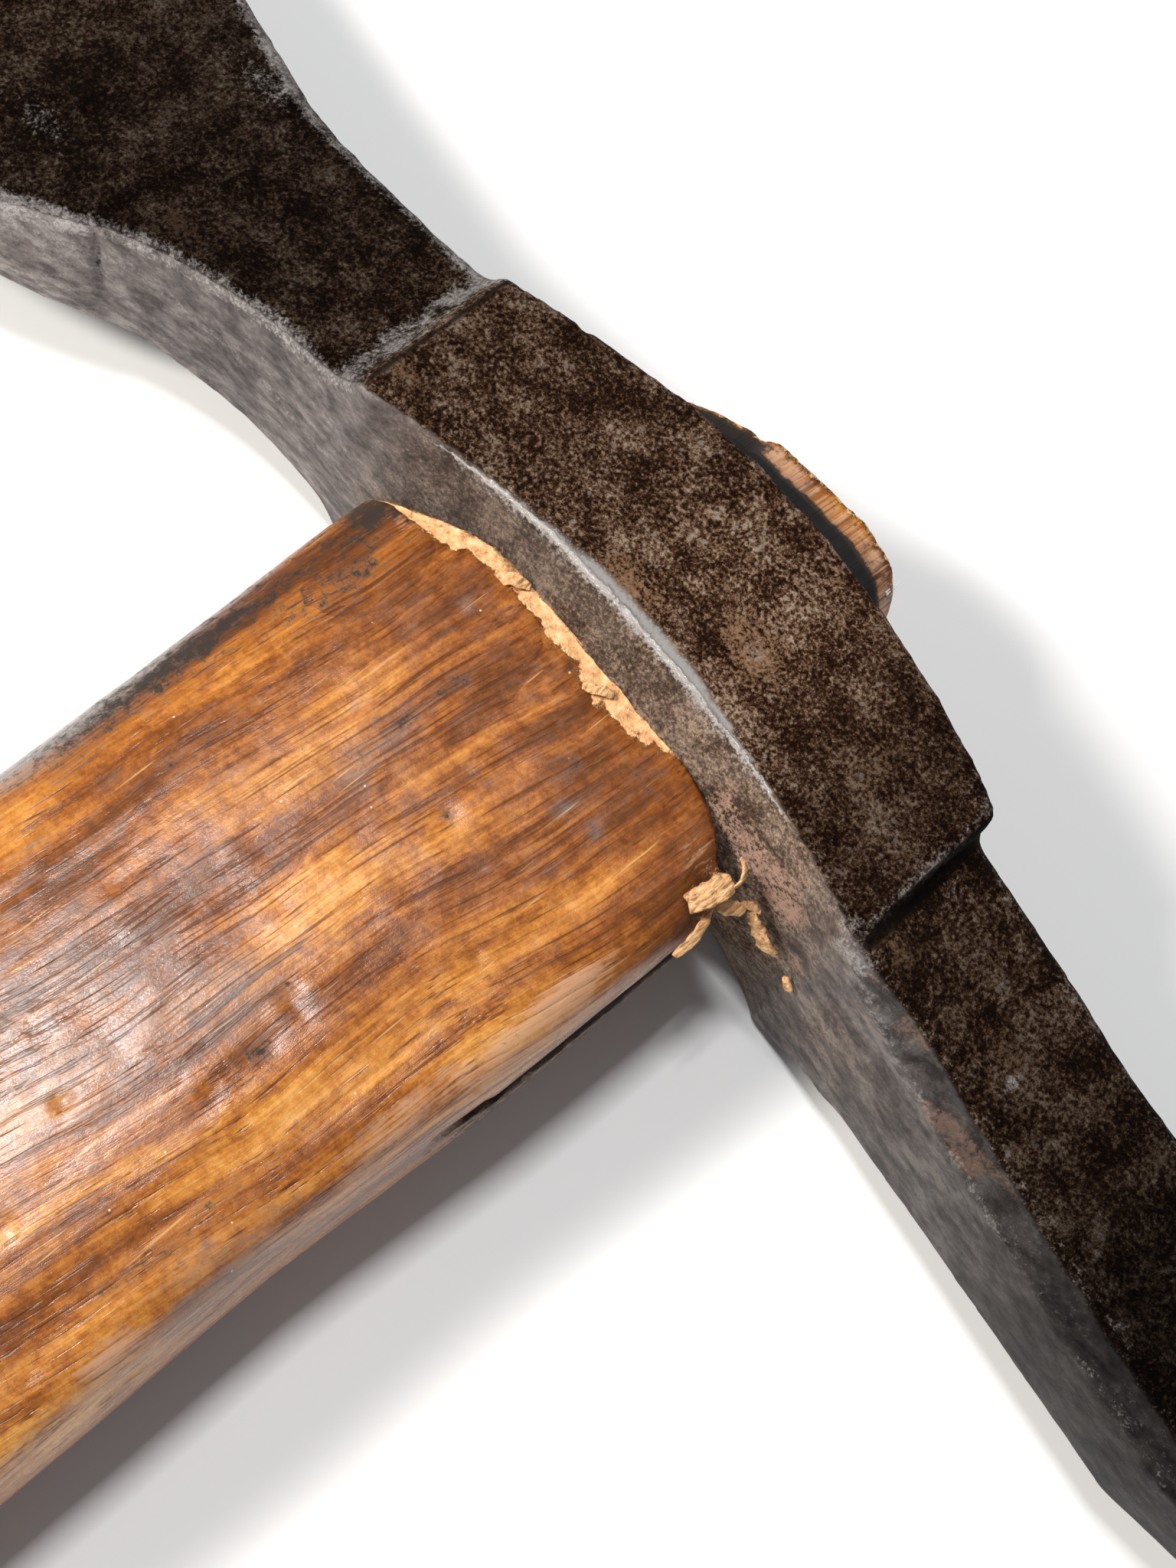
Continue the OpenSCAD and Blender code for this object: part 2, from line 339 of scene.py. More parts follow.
def lumps(tree, coords, size, detail, roughness, turn=0.0):
    """Noise from 0 to 1 whose lumps measure about size in mm: a number, or one per axis."""
    sizes = size if isinstance(size, tuple) else (size, size, size)
    place = add(tree, "ShaderNodeMapping", {
        "Vector": coords, "Rotation": (0.0, 0.0, turn), "Scale": [1 / side for side in sizes]})
    return add(tree, "ShaderNodeTexNoise", {
        "Vector": place, "Scale": 1.0, "Detail": detail, "Roughness": roughness}, out="Fac")


def total(tree, start, *parts):
    """A start plus each part, which is a value and its weight."""
    for value, weight in parts:
        start = add(tree, "ShaderNodeMath", {0: value, 1: weight, 2: start},
                    operation="MULTIPLY_ADD")
    return start


def shades(tree, value, stops, body, share):
    """Colours picked by a value, drawn by a share towards the finish's body colour."""
    picked = add(tree, "ShaderNodeValToRGB", {"Fac": value}, stops=stops)
    return add(tree, "ShaderNodeMix", {0: share, 6: picked, 7: (*body, 1.0)},
               data_type="RGBA", out=2)


def layer(tree, under, over, value, low, high, most=1.0, edge="LINEAR"):
    """Lays a colour over another where a value passes from low to high, and gives its cover too."""
    cover = add(tree, "ShaderNodeMapRange", {
        "Value": value, "From Min": low, "From Max": high, "To Max": most},
        interpolation_type=edge)
    over = rgba(over) if isinstance(over, str) else over
    laid = add(tree, "ShaderNodeMix", {0: cover, 6: under, 7: over}, data_type="RGBA", out=2)
    return laid, cover


def finish_shader(tree, shader, height, depth, values):
    """Gives the shader its relief, a height times a depth in mm, and its other values."""
    bump = add(tree, "ShaderNodeBump", {"Height": height, "Strength": 1.0, "Distance": depth * MM},
               out="Normal")
    for name, value in {**values, "Normal": bump}.items():
        if isinstance(value, bpy.types.NodeSocket):
            tree.links.new(value, shader.inputs[name])
        else:
            shader.inputs[name].default_value = value


def forged_steel(colours):
    """Drop-forged carbon steel: dark scale and rust on the cheeks, smooth grey worn faces."""
    # Scale is a thin oxide crust, so it looks nearly non-metallic and granular; where hands, tools
    # and rust have taken it off, the steel is smooth and grey with a dull sheen.
    # Painted shade also darkens the arms towards their ends, the crease and the block's end face,
    # and the rubbed line carries a painted highlight.
    material, tree, coords, shader = new_material("Forged carbon steel")
    crust_mask, shade, rust, dust, scuff, rim, glint, lap_and_shade = masks_of(
        tree, "crust", "shade", "rust", "dust", "scuff", "rim", "glint", "lap_and_shade")

    # grains of scale and rust, about 0.3 mm, gathered in clouds of about 3 mm
    grain = lumps(tree, coords, 0.3, 6.0, 0.84)
    cloud = lumps(tree, coords, 3.0, 5.0, 0.7)
    shift = total(tree, -0.25, (cloud, 0.5))
    blend = total(tree, shift, (grain, 1.0))
    ragged = total(tree, -1.2, (blend, 2.4))
    crust = shades(tree, blend, [
        (0.39, "#140400"), (0.445, "#331709"), (0.495, "#5d3d2a"), (0.54, "#957259"),
        (0.59, "#c9aa90"), (0.65, "#ead7c6")], colours.scale, 0.08)

    # tan rust and old dust in patches, broken by the grains
    dust_gain = total(tree, 1.0, (ragged, 3.4))
    dust = add(tree, "ShaderNodeMath", {0: dust, 1: dust_gain}, operation="MULTIPLY")
    crust, _ = layer(tree, crust, "#b98f6d", dust, 0.3, 0.8, 0.8)

    # pale flecks, about 0.3 mm, where the crust has broken off
    fleck = add(tree, "ShaderNodeTexVoronoi", {"Vector": coords, "Scale": 1.0}, out="Distance")
    crust, _ = layer(tree, crust, "#b9aaa0", total(tree, fleck, (cloud, -0.5)), -0.1, -0.16, 0.75)

    # grey steel with faint streaks along the head, about 2 mm long
    streak = lumps(tree, coords, (2.0, 1.2, 1.2), 8.0, 0.74)
    steel = shades(tree, total(tree, shift, (streak, 1.0)), [
        (0.38, "#4c4644"), (0.46, "#78706e"), (0.53, "#908887"), (0.62, "#bcb6b4")],
        colours.steel, 0.25)

    # olive-brown rust on the underside near the eye, and old dust over both
    brown = add(tree, "ShaderNodeValToRGB", {"Fac": blend}, stops=[
        (0.39, "#45332a"), (0.45, "#66503f"), (0.51, "#8a7361"), (0.57, "#b89d87"),
        (0.65, "#dcc4ae")])
    rusty = total(tree, -0.8, (streak, 1.6), (rust, 1.0))
    bare, _ = layer(tree, steel, brown, rusty, 0.0, 1.0)
    bare, _ = layer(tree, bare, "#d0a894", dust, 0.3, 0.8, 0.8)

    # the crust's border is ragged at the size of its grains
    border = total(tree, crust_mask, (ragged, 1.0))
    colour, crusted = layer(tree, bare, crust, border, 0.35, 0.65, edge="SMOOTHSTEP")
    # the shade mask darkens the colour: partly the steel's own tone, partly painted shade
    colour = add(tree, "ShaderNodeVectorMath", {0: colour, "Scale": shade}, operation="SCALE")

    # grey scuffs in grains, a bright rubbed line that wobbles along its edge, worn steel with a
    # painted highlight, and near-black for the lap's line and for painted shade in the crease and
    # on the block's end face
    grey = add(tree, "ShaderNodeValToRGB", {"Fac": blend}, stops=[
        (0.38, "#6d6360"), (0.50, "#938b88"), (0.62, "#c9c4c2")])
    colour, _ = layer(tree, colour, grey, total(tree, scuff, (ragged, 1.0)), 0.35, 0.85, 0.85)
    from_rim = total(tree, -0.85, (grain, 1.7), (rim, 1.0))
    from_rim = add(tree, "ShaderNodeMath", {0: from_rim}, operation="ABSOLUTE")
    inside = total(tree, -0.06, (glint, 0.7), (from_rim, -1.0))
    # the rubbed line is painted near-white: worn steel with a painted highlight on it
    colour, bright = layer(tree, colour, "#e2dfdd", inside, -0.1, 0.24, edge="SMOOTHSTEP")
    # near-black: the lap's dark line, and painted shade in the crease and on the block's end face
    colour, _ = layer(tree, colour, "#120c0a", total(tree, lap_and_shade, (ragged, 1.0)), 0.4, 0.7, 0.9)

    # the crust is three times as deeply pitted as the bare faces
    pits = total(tree, 0.3, (crusted, 0.7))
    pits = add(tree, "ShaderNodeMath", {0: grain, 1: pits}, operation="MULTIPLY")
    finish_shader(tree, shader, pits, 0.5, {
        "Base Color": colour,
        "Roughness": total(tree, 0.5, (crusted, 0.22), (bright, -0.25)),
        "Metallic": total(tree, 0.25, (crusted, -0.25), (bright, 0.5))})
    shader.inputs["Specular IOR Level"].default_value = 0.04
    return material


def oiled_ash(colours):
    """Ring-porous hardwood, oiled and darkened by hands, with open pores along the grain."""
    # Oil gives it a deep amber and a gloss; the pores are dark dashes along the grain, crowded in
    # each year's early wood; hands leave dark dirt in hollows, here partly painted shade, a grey
    # layer that is partly painted sheen, and pale rubs along the edges.
    material, tree, coords, shader = new_material("Oiled ash")
    fresh, rubbed, grime_and_shade, amber, film_and_sheen = masks_of(tree, "fresh", "rubbed", "grime_and_shade", "amber", "film_and_sheen")

    # slow wander of the grain, so no line runs dead straight
    wander = add(tree, "ShaderNodeTexNoise",
                 {"Vector": coords, "Scale": 1 / 22.0, "Detail": 1.5}, out="Color")
    wander = add(tree, "ShaderNodeVectorMath", {0: wander, "Scale": 3.6}, operation="SCALE")
    leaning = add(tree, "ShaderNodeMapping", {"Vector": coords, "Rotation": (0.0, 0.0, 0.09)})
    grain = add(tree, "ShaderNodeVectorMath", {0: leaning, 1: wander}, operation="ADD")

    # growth rings, 2.6 mm apart, around a heart that lies below the handle
    ring_at = add(tree, "ShaderNodeMapping",
                  {"Vector": grain, "Location": (-10.0, 0.0, 18.0), "Scale": (1.0, 0.1, 1.0)})
    ring = add(tree, "ShaderNodeVectorMath", {0: ring_at}, operation="LENGTH", out="Value")
    ring = add(tree, "ShaderNodeMath", {0: ring, 1: 2.6}, operation="DIVIDE")
    ring = add(tree, "ShaderNodeMath", {0: ring}, operation="FRACT")
    early = add(tree, "ShaderNodeMapRange", {
        "Value": ring, "From Min": 0.0, "From Max": 0.5, "To Min": 1.0, "To Max": 0.0},
        interpolation_type="SMOOTHSTEP")

    # tone: broad clouds and narrow bands along the grain, and a fine mottle across them
    cloud = lumps(tree, grain, (6, 20, 6), 6.0, 0.6)
    band = lumps(tree, grain, (0.9, 45, 0.9), 4.0, 0.66)
    mottle = lumps(tree, coords, 0.9, 7.0, 0.8)
    tone = total(tree, -0.37, (cloud, 0.78), (band, 0.42), (mottle, 0.5), (early, -0.05),
                 (amber, 0.1))
    colour = shades(tree, tone, [
        (0.34, "#4f260a"), (0.42, "#7a3f13"), (0.49, "#a05e22"), (0.55, "#bb772f"),
        (0.61, "#d29043"), (0.70, "#e8ae62")], colours.wood, 0.15)

    # fibres: fine lines 0.2 mm wide
    fibre = lumps(tree, grain, (0.2, 12, 0.2), 3.0, 0.6)
    fibre_gain = add(tree, "ShaderNodeMapRange", {
        "Value": fibre, "From Min": 0.32, "From Max": 0.68, "To Min": 0.8, "To Max": 1.18})
    colour = add(tree, "ShaderNodeVectorMath", {0: colour, "Scale": fibre_gain}, operation="SCALE")

    # open pores: dashes 0.22 mm wide and about 10 mm long, crowded in the early wood
    pore = lumps(tree, grain, (0.22, 10, 0.22), 2.0, 0.55)
    crowd = total(tree, pore, (early, -0.05), (band, 0.3), (film_and_sheen, -0.06))
    colour, pored = layer(tree, colour, "#54290d", crowd, 0.57, 0.46, 0.75)

    # stains, a grey layer that is partly painted sheen, and pale rubs, all broken up at their edges
    stain = lumps(tree, coords, (2.2, 4, 2.2), 7.0, 0.78)
    colour, _ = layer(tree, colour, "#5b3016", total(tree, stain, (fibre, 0.3)), 0.73, 0.86, 0.6)
    broken = total(tree, -1.35, (stain, 1.3), (fibre, 1.4))
    colour, _ = layer(tree, colour, "#79736f", total(tree, broken, (film_and_sheen, 1.0)), 0.15, 0.9, 0.85)
    colour, _ = layer(tree, colour, "#cf9f7c", total(tree, broken, (rubbed, 1.0)), 0.35, 0.8, 0.8)

    # short pale scratches and a few tiny white specks
    scratch = lumps(tree, coords, (0.25, 6, 3), 1.0, 0.5, turn=0.3)
    colour, _ = layer(tree, colour, "#e0b27a", scratch, 0.72, 0.78, 0.55)
    speck = add(tree, "ShaderNodeTexVoronoi", {"Vector": coords, "Scale": 1 / 2.4}, out="Distance")
    colour, _ = layer(tree, colour, "#f0dcc4", speck, 0.035, 0.02, 0.7)

    # dark smudges, painted shade on the pick side's flank, and a painted shadow, near black, on the
    # stub below the head's edge and on its blade side
    smudge_and_shade = total(tree, -1.5, (mottle, 3.0), (grime_and_shade, 1.0))
    colour, smudged_and_shaded = layer(tree, colour, "#241a14", smudge_and_shade, 0.3, 0.8, 0.96)
    # near black where the values pass 1.1: painted shadow on the stub, and painted shade in parts
    # of the split
    painted_shadow = add(tree, "ShaderNodeMapRange", {
        "Value": grime_and_shade, "From Min": 1.1, "From Max": 1.6, "To Min": 1.0, "To Max": 0.08})
    colour = add(tree, "ShaderNodeVectorMath", {0: colour, "Scale": painted_shadow}, operation="SCALE")

    # crushed fresh wood under the head, with dark cracks
    crush = lumps(tree, coords, 0.6, 4.0, 0.7)
    pale = shades(tree, crush, [
        (0.32, "#4a2c18"), (0.38, "#a8703f"), (0.46, "#cf9764"), (0.56, "#e6b27e"),
        (0.70, "#f6d29e")], colours.fresh, 0.25)
    torn = total(tree, -0.8, (crush, 1.6), (fresh, 1.0))
    colour, crushed = layer(tree, colour, pale, torn, 0.4, 0.6, edge="SMOOTHSTEP")

    gloss = add(tree, "ShaderNodeMapRange", {
        "Value": stain, "From Min": 0.35, "From Max": 0.65, "To Min": 0.2, "To Max": 0.34})
    crush_height = add(tree, "ShaderNodeMath", {0: crush, 1: crushed}, operation="MULTIPLY")
    height = total(tree, 1.0, (pored, -0.8), (fibre, 0.6), (stain, 1.6), (crush_height, 5.0))
    finish_shader(tree, shader, height, 0.03, {
        "Base Color": colour,
        "Roughness": total(tree, gloss, (film_and_sheen, -0.05), (crushed, 0.4), (smudged_and_shaded, 0.5))})
    shader.inputs["Specular IOR Level"].default_value = 0.5
    return material


def torn_ash(colours):
    """The same hardwood torn and dry: pale fibres with brown cracks, no oil and no sheen."""
    # Torn fibres scatter light, so the wood is matt and pale, with streaks along the grain.
    material, tree, coords, shader = new_material("Torn ash")
    fibre = lumps(tree, coords, (0.3, 1.4, 0.3), 4.0, 0.65)
    colour = shades(tree, fibre, [
        (0.34, "#5c3a22"), (0.42, "#a9754b"), (0.50, "#d09e6c"), (0.62, "#ecc08c")],
        colours.fresh, 0.2)
    finish_shader(tree, shader, fibre, 0.25, {"Base Color": colour, "Roughness": 0.8})
    return material


def wedge_steel(colours):
    """Mild steel wedge, hammered at its head: dull grey with brown rust in the low places."""
    # Rolled mild steel is smoother than a forging, and rusts in small even spots.
    material, tree, coords, shader = new_material("Hammered mild steel")
    spot = lumps(tree, coords, 1.2, 5.0, 0.65)
    colour = shades(tree, spot, [
        (0.36, "#4a3226"), (0.46, "#6b5a50"), (0.55, "#85807c"), (0.68, "#b3afac")],
        colours.steel, 0.2)
    metal = add(tree, "ShaderNodeMapRange", {"Value": spot, "From Min": 0.42, "From Max": 0.6})
    finish_shader(tree, shader, spot, 0.15, {
        "Base Color": colour, "Metallic": metal, "Roughness": 0.5})
    return material


# ------------------------------------------------------------------ the head


def hollow_share(x, sizes):
    """1 at the middle of the eye block and 0 at its ends."""
    half = (sizes.block_blade + sizes.block_pick) / 2
    from_mid = x - (sizes.block_pick - sizes.block_blade) / 2
    return 1 - np.clip(np.abs(from_mid) / half, 0, 1) ** 2


def remeshed_node(node, voxel):
    """An even mesh, in mm, over a CAD node's solid."""
    mesh = bpy.data.objects[node].data.copy() if node in bpy.data.objects else None
    if mesh is None:
        raise RuntimeError(f"no CAD node called {node}")
    mesh.transform(Matrix.Scale(1 / MM, 4))
    source = bpy.data.objects.new(node + "_remesh", mesh)
    bpy.context.scene.collection.objects.link(source)
    weld = source.modifiers.new("Weld", "WELD")
    weld.merge_threshold = 0.001
    remesh = source.modifiers.new("Remesh", "REMESH")
    remesh.mode = "VOXEL"
    remesh.voxel_size = voxel
    graph = bpy.context.evaluated_depsgraph_get()
    result = bpy.data.meshes.new_from_object(source.evaluated_get(graph))
    bpy.data.objects.remove(source)
    return result


def to_lines(x, places):
    """A value that runs straight between the given (x, value) places."""
    return np.interp(x, [place[0] for place in places], [place[1] for place in places])


class HAMMER_OT_head(bpy.types.Operator):
    """Forge the head: an even mesh over the CAD head, worn, dented and scaled"""

    bl_idname = "hammer.head"
    bl_label = "Forged head"

    # the rubbed line's strength, worn steel with a painted highlight, and that of the scuffs on the
    # arrises, by x in mm
    GLINT = [(-17, 0.0), (-13, 0.35), (-9, 0.65), (-5, 0.7), (-2, 1.0), (6, 1.0), (9, 0.7),
             (14, 0.4), (18, 0.0)]
    ARRIS_SCUFFS = [(-46, 0.75), (-21, 0.6), (-19, 0.1), (20, 0.1), (23, 0.45), (24.2, 0.45),
                    (26, 0.3), (60, 0.15)]
    # how dark the scale and the bare faces are, along the head, partly their own tone and partly
    # painted shade that darkens the arms towards their ends: place in mm, share of full tone
    CRUST_SHADES = [(-70, 0.3), (-48, 0.14), (-30, 0.14), (-21.5, 0.24), (-20, 0.5), (-10, 0.65),
                    (2, 0.98), (9, 1.0), (17, 0.46), (24, 0.34), (24.5, 0.36), (36, 0.28),
                    (50, 0.06), (92, 0.12)]
    BARE_SHADES = [(-70, 0.9), (-44, 1.0), (-38, 0.8), (-30, 0.62), (-22, 0.86), (-16, 0.68),
                   (-8, 0.62), (4, 0.7), (16, 1.0), (28, 0.66), (40, 0.36), (48, 0.14), (92, 0.08)]
    # tan rust and pinkish old dust: middle, half sizes in mm, strength
    DUST = [
        ((7.3, -0.5, 24), (2.6, 1.9, 2), 0.9), ((-0.2, -3.0, 24), (2.6, 1.2, 2), 0.85),
        ((27.5, -7.5, 19.5), (2.5, 1.4, 1.4), 0.8), ((35.0, -8.2, 18.5), (3.0, 1.4, 1.4), 0.7),
        ((7.5, 6.8, 24), (1.6, 1.2, 2), 0.35), ((17.2, 0.7, 24), (3.0, 3.5, 2), 0.35),
        ((-18.7, -4.8, 24), (1.5, 1.0, 3), 0.6), ((-36.7, -7.2, 18), (1.8, 0.7, 4), 0.8),
        ((-33.5, 1.0, 19), (2.5, 1.5, 4), 0.3), ((33.7, -4.2, 22), (4.0, 1.6, 4), 0.45),
        ((25.8, -6.0, 22), (1.8, 1.0, 3), 0.6), ((13.2, -6.6, 20), (1.6, 1.5, 1.6), 1.1),
        ((15.9, -7.0, 19.5), (1.5, 1.5, 1.4), 1.1), ((19.1, -7.3, 19), (2.4, 1.5, 2.4), 0.9),
        ((22.5, -8.0, 15), (1.2, 1.0, 1.0), 0.6), ((31.0, -8.0, 19), (1.2, 1.2, 1.0), 0.5)]
    # grey scuffs away from the edges
    SCUFFS = [
        ((-49.0, -8.8, 16), (3.0, 1.2, 4), 0.5), ((-41.5, 4.0, 17.5), (3.5, 1.2, 3), 0.45),
        ((-44.0, -13.0, 12), (4.0, 3.0, 4), 0.35), ((25.5, -1.0, 23), (1.2, 3.5, 3), 0.28),
        ((7.4, -0.4, 24), (0.8, 0.8, 2), 0.6), ((35.8, -5.2, 20), (0.3, 0.6, 2), 0.9)]

    def execute(self, context):
        sizes = context.scene.hammer_sizes
        mesh = remeshed_node("head", sizes.voxel)
        edges = mesh_rows(mesh.edges, "vertices", 2, np.int64)
        points = self.worn_round(mesh_rows(mesh.vertices, "co", 3), edges, sizes)
        mesh.vertices.foreach_set("co", points.ravel())
        mesh.update()
        normals = mesh_rows(mesh.vertex_normals, "vector", 3)
        bulge = np.einsum("ij,ij->i", points - neighbour_mean(points, edges), normals)
        at = self.places(points, relaxed(normals, edges, 3), sizes)
        at.arris = smooth(relaxed(bulge, edges, 3), 0.004, 0.016)

        points += normals * self.relief(points, at, sizes)[:, None]
        points[:, 2] = np.clip(points[:, 2], HEAD_LOW[2], HEAD_HIGH[2])
        faces = [tuple(face.vertices) for face in mesh.polygons]
        head = new_piece("forged_head", points, faces, self.wear(points, at, sizes))
        bpy.data.meshes.remove(mesh)
        finish_piece(head, "head", forged_steel(context.scene.hammer_colours))
        return {"FINISHED"}

    def worn_round(self, points, edges, sizes):
        """The points with their edges worn round, in some places more than in others."""
        points = relaxed(points, edges, 3)
        softer = relaxed(points, edges, 10)
        worn = smooth(fractal(points, 5.0, 3, seed=3), -0.25, 0.5)
        worn *= 1 - 0.85 * smooth(2.0 - np.abs(points[:, 0] - sizes.block_pick), 0, 1)
        return points + (softer - points) * worn[:, None]

    def places(self, points, normals, sizes):
        """How far each point belongs to the head's places, each from 0 to 1, and its distances."""
        x, _, z = points.T
        down = -normals[:, 1]
        tilt = np.abs(normals[:, 2])
        blade_end = sizes.block_blade
        pick_end = sizes.block_pick
        at = SimpleNamespace(off_mid=np.abs(z - MID_Z), share=hollow_share(x, sizes))
        at.bare = smooth(down, 0.35, 0.6) * (1 - smooth(tilt, 0.74, 0.92))
        at.block = smooth(x, -blade_end - 1, -blade_end + 1)
        at.block *= smooth(-x, -pick_end - 1, -pick_end + 1)
        at.pick = smooth(x, pick_end - 0.5, pick_end + 2)
        at.chamfer = smooth(tilt, 0.3, 0.55) * smooth(-tilt, -0.9, -0.72)
        at.chamfer *= at.pick * smooth(down, 0.2, 0.5)
        # the ramp from the blade up to the block, and the crease at its top
        at.ramp = smooth(-x, blade_end + 0.1, blade_end + 0.5)
        at.ramp *= smooth(x, -blade_end - 3.4, -blade_end - 1.6) * smooth(tilt ** 2, 0.2, 0.4)
        crease_at = blade_end - 0.2 + 0.25 * fractal(points, 1.5, 2, seed=63)
        at.crease = smooth(0.45 - np.abs(x + crease_at), 0.0, 0.35) * smooth(tilt ** 2, 0.3, 0.5)
        # a lap in the forging where the blade's ground bevel starts
        lap_at = sizes.bevel_at + 0.1 * (z - MID_Z) + 0.5 * fractal(points, 2.0, 2, seed=61)
        at.lap = smooth(0.5 - np.abs(x + lap_at), 0.0, 0.4) * at.bare
        at.lap *= smooth(z, MID_Z - 3, MID_Z + 1)
        # the block's end face on the pick side, which is painted near-black as its shade
        at.step = smooth(normals[:, 0], 0.3, 0.6) * smooth(at.off_mid, 6.0, 7.0)
        at.step *= smooth(-np.abs(x - pick_end - 0.2), -1.1, -0.5)
        return at

    def relief(self, points, at, sizes):
        """Hand-forged unevenness, the hammered chamfer, pitted scale, lap and crease, in mm."""
        x, _, z = points.T
        push = 0.16 * fractal(points, 11.0, 2, seed=11)
        push += 0.05 * fractal(points, 3.2, 2, seed=5)
        push += (1 - at.bare) * 0.06 * fractal(points, 1.0, 2, seed=7)
        rough = at.chamfer * (0.25 + 0.65 * (z > MID_Z))
        push += rough * fractal(points, (2.2, 1.6, 1.6), 3, seed=9)
        push -= (1 - at.bare) * 0.14 * smooth(fractal(points, 1.7, 2, seed=21), 0.35, 0.7)
        push -= 0.2 * at.lap + 0.08 * at.crease
        push += 0.12 * smooth(-x, sizes.bevel_at, sizes.bevel_at + 1.0) * at.bare
        return push

    def wear(self, points, at, sizes):
        """What the finish reads at each point: crust, tone with painted shade, rust, dust, scuffs,
        the rim with its painted highlight, and the lap's dark line with painted shade.
        """
        x, y, z = points.T
        # bright rubbed line along each cheek's edge over the shoulder of the handle: worn steel
        # with a painted highlight, strongest at the block's middle
        edge = -sizes.under + sizes.hollow * at.share
        off_cheek = HEAD_HIGH[2] - MID_Z - at.off_mid
        rim = np.hypot(y - edge, off_cheek) * np.where(y > edge, 1.0, -1.0)
        rim = np.clip(rim + 0.25, -3, 3)
        glint = to_lines(x, self.GLINT) * at.block * smooth(-np.abs(rim), -2.5, -1.5)

        crust = 1 - at.bare
        # tone along the head, a tenth darker on the side away from the handle and darker on the
        # pick's chamfer: partly the steel's own tone, partly painted shade
        shade = to_lines(x, self.CRUST_SHADES) * crust + to_lines(x, self.BARE_SHADES) * at.bare
        shade *= np.where(y > 0.5 * sizes.under, 0.9, 1.0) * (1 - 0.35 * at.chamfer)

        # rust in the hollow by the eye, and a little under the pick
        inner = (HEAD_HIGH[2] - MID_Z - CHEEK_RIM) * at.share ** 0.7
        rust = 0.62 + 0.4 * smooth(inner - at.off_mid, -0.8, 0.3) + 0.25 * smooth(x, -12, 4)
        rust *= smooth(x, -21, -13) * smooth(-x, -27, -18)
        under_pick = at.pick * smooth(-x, -40, -24) * smooth(-at.off_mid, -8, -3)
        rust = np.maximum(rust, 0.45 * under_pick)
        ochre = at.chamfer * smooth(fractal(points, (3.0, 1.6, 1.6), 2, seed=67), -0.1, 0.4)
        ochre *= 0.8 * smooth(x, 24, 27) * smooth(-x, -46, -38) * (z > MID_Z)

        # scuffs: the ramp by the crease, the arrises, the blade's ridge and the rim's border; on
        # the ramp, which faces the key light, the grey is partly a painted highlight
        scuff = 1.05 * at.ramp * (0.7 + fractal(points, 1.2, 3, seed=65))
        scuff += at.arris * to_lines(x, self.ARRIS_SCUFFS)
        ridge_at = MID_Z + to_lines(x, [(-38, 3.5), (-20, -0.5)])
        scuff += 0.4 * smooth(0.9 - np.abs(z - ridge_at), 0.0, 0.8) * at.bare * smooth(-x, 20, 23)
        scuff += 0.5 * smooth(1.3 - np.abs(rim + 0.3), 0.0, 1.2) * smooth(glint, 0.1, 0.5)
        scuff += 0.12 * at.chamfer + marks(points, self.SCUFFS)
        # the last value is the lap's dark line plus painted shade in the crease and on the block's
        # end face
        return {"crust": crust * (1 - 0.25 * at.chamfer), "shade": shade, "rust": rust,
                "dust": ochre + marks(points, self.DUST), "scuff": scuff, "rim": rim,
                "glint": glint, "lap_and_shade": 0.4 * at.lap + 0.6 * at.crease + 1.1 * at.step}


# ------------------------------------------------------------------ the handle


def oblong(width, thick, square, count):
    """Points spaced evenly round a rounded oblong, starting on its +x side."""
    angle = np.radians(np.arange(0, 360.5, 0.5))
    c, s = np.cos(angle), np.sin(angle)
    ring = np.stack([width / 2 * np.sign(c) * np.abs(c) ** (2 / square),
                     thick / 2 * np.sign(s) * np.abs(s) ** (2 / square)], axis=1)
    run = np.concatenate([[0], np.cumsum(np.linalg.norm(np.diff(ring, axis=0), axis=1))])
    at = np.arange(count) / count * run[-1]
    return np.stack([np.interp(at, run, ring[:, 0]), np.interp(at, run, ring[:, 1])], axis=1)


def eased(u, stations, column):
    """A column of the stations at share u, eased between neighbours."""
    places = [row[0] for row in stations]
    i = min(max(np.searchsorted(places, u) - 1, 0), len(stations) - 2)
    a, b = stations[i], stations[i + 1]
    t = min(max((u - a[0]) / (b[0] - a[0]), 0), 1)
    return a[column] + (b[column] - a[column]) * t * t * (3 - 2 * t)


def shoulder_front(x, z, sizes):
    """How far the shoulder's front stands up from the head's underside, z off the middle plane."""
    share = hollow_share(x, sizes)
    half = HEAD_HIGH[2] - MID_Z
    inner = (half - CHEEK_RIM) * share ** 0.7
    rise = sizes.hollow * share * np.clip((np.abs(z) - inner) / (half - inner), 0, 1)
    return rise - 1.5 * smooth(-x, 7, 14.5) - 2.2 * smooth(x, 9.5, 17.5)


def stub_end(x, z):
    """Height of the stub's broken end, z off the middle plane: lowest on the blade side."""
    fall = to_lines(x, [(-10.2, 4.2), (-8.6, 3.2), (-4.3, 1.5), (-3.4, 1.5), (-2.6, 0.7), (1, 0.4),
                        (5, 0.15), (8.2, 0.6), (9.4, 1.4), (10.2, 2.4)])
    place = np.stack([x, 0 * x, z], axis=1)
    return STUB_END - fall - 0.3 * np.abs(fractal(place, (1.0, 1.0, 2.0), 3, seed=47))


def flat_ring(outline, y):
    """A ring of points at one place along the handle, from its outline across it."""
    return np.stack([outline[:, 0], np.full(len(outline), y), outline[:, 1]], axis=1)


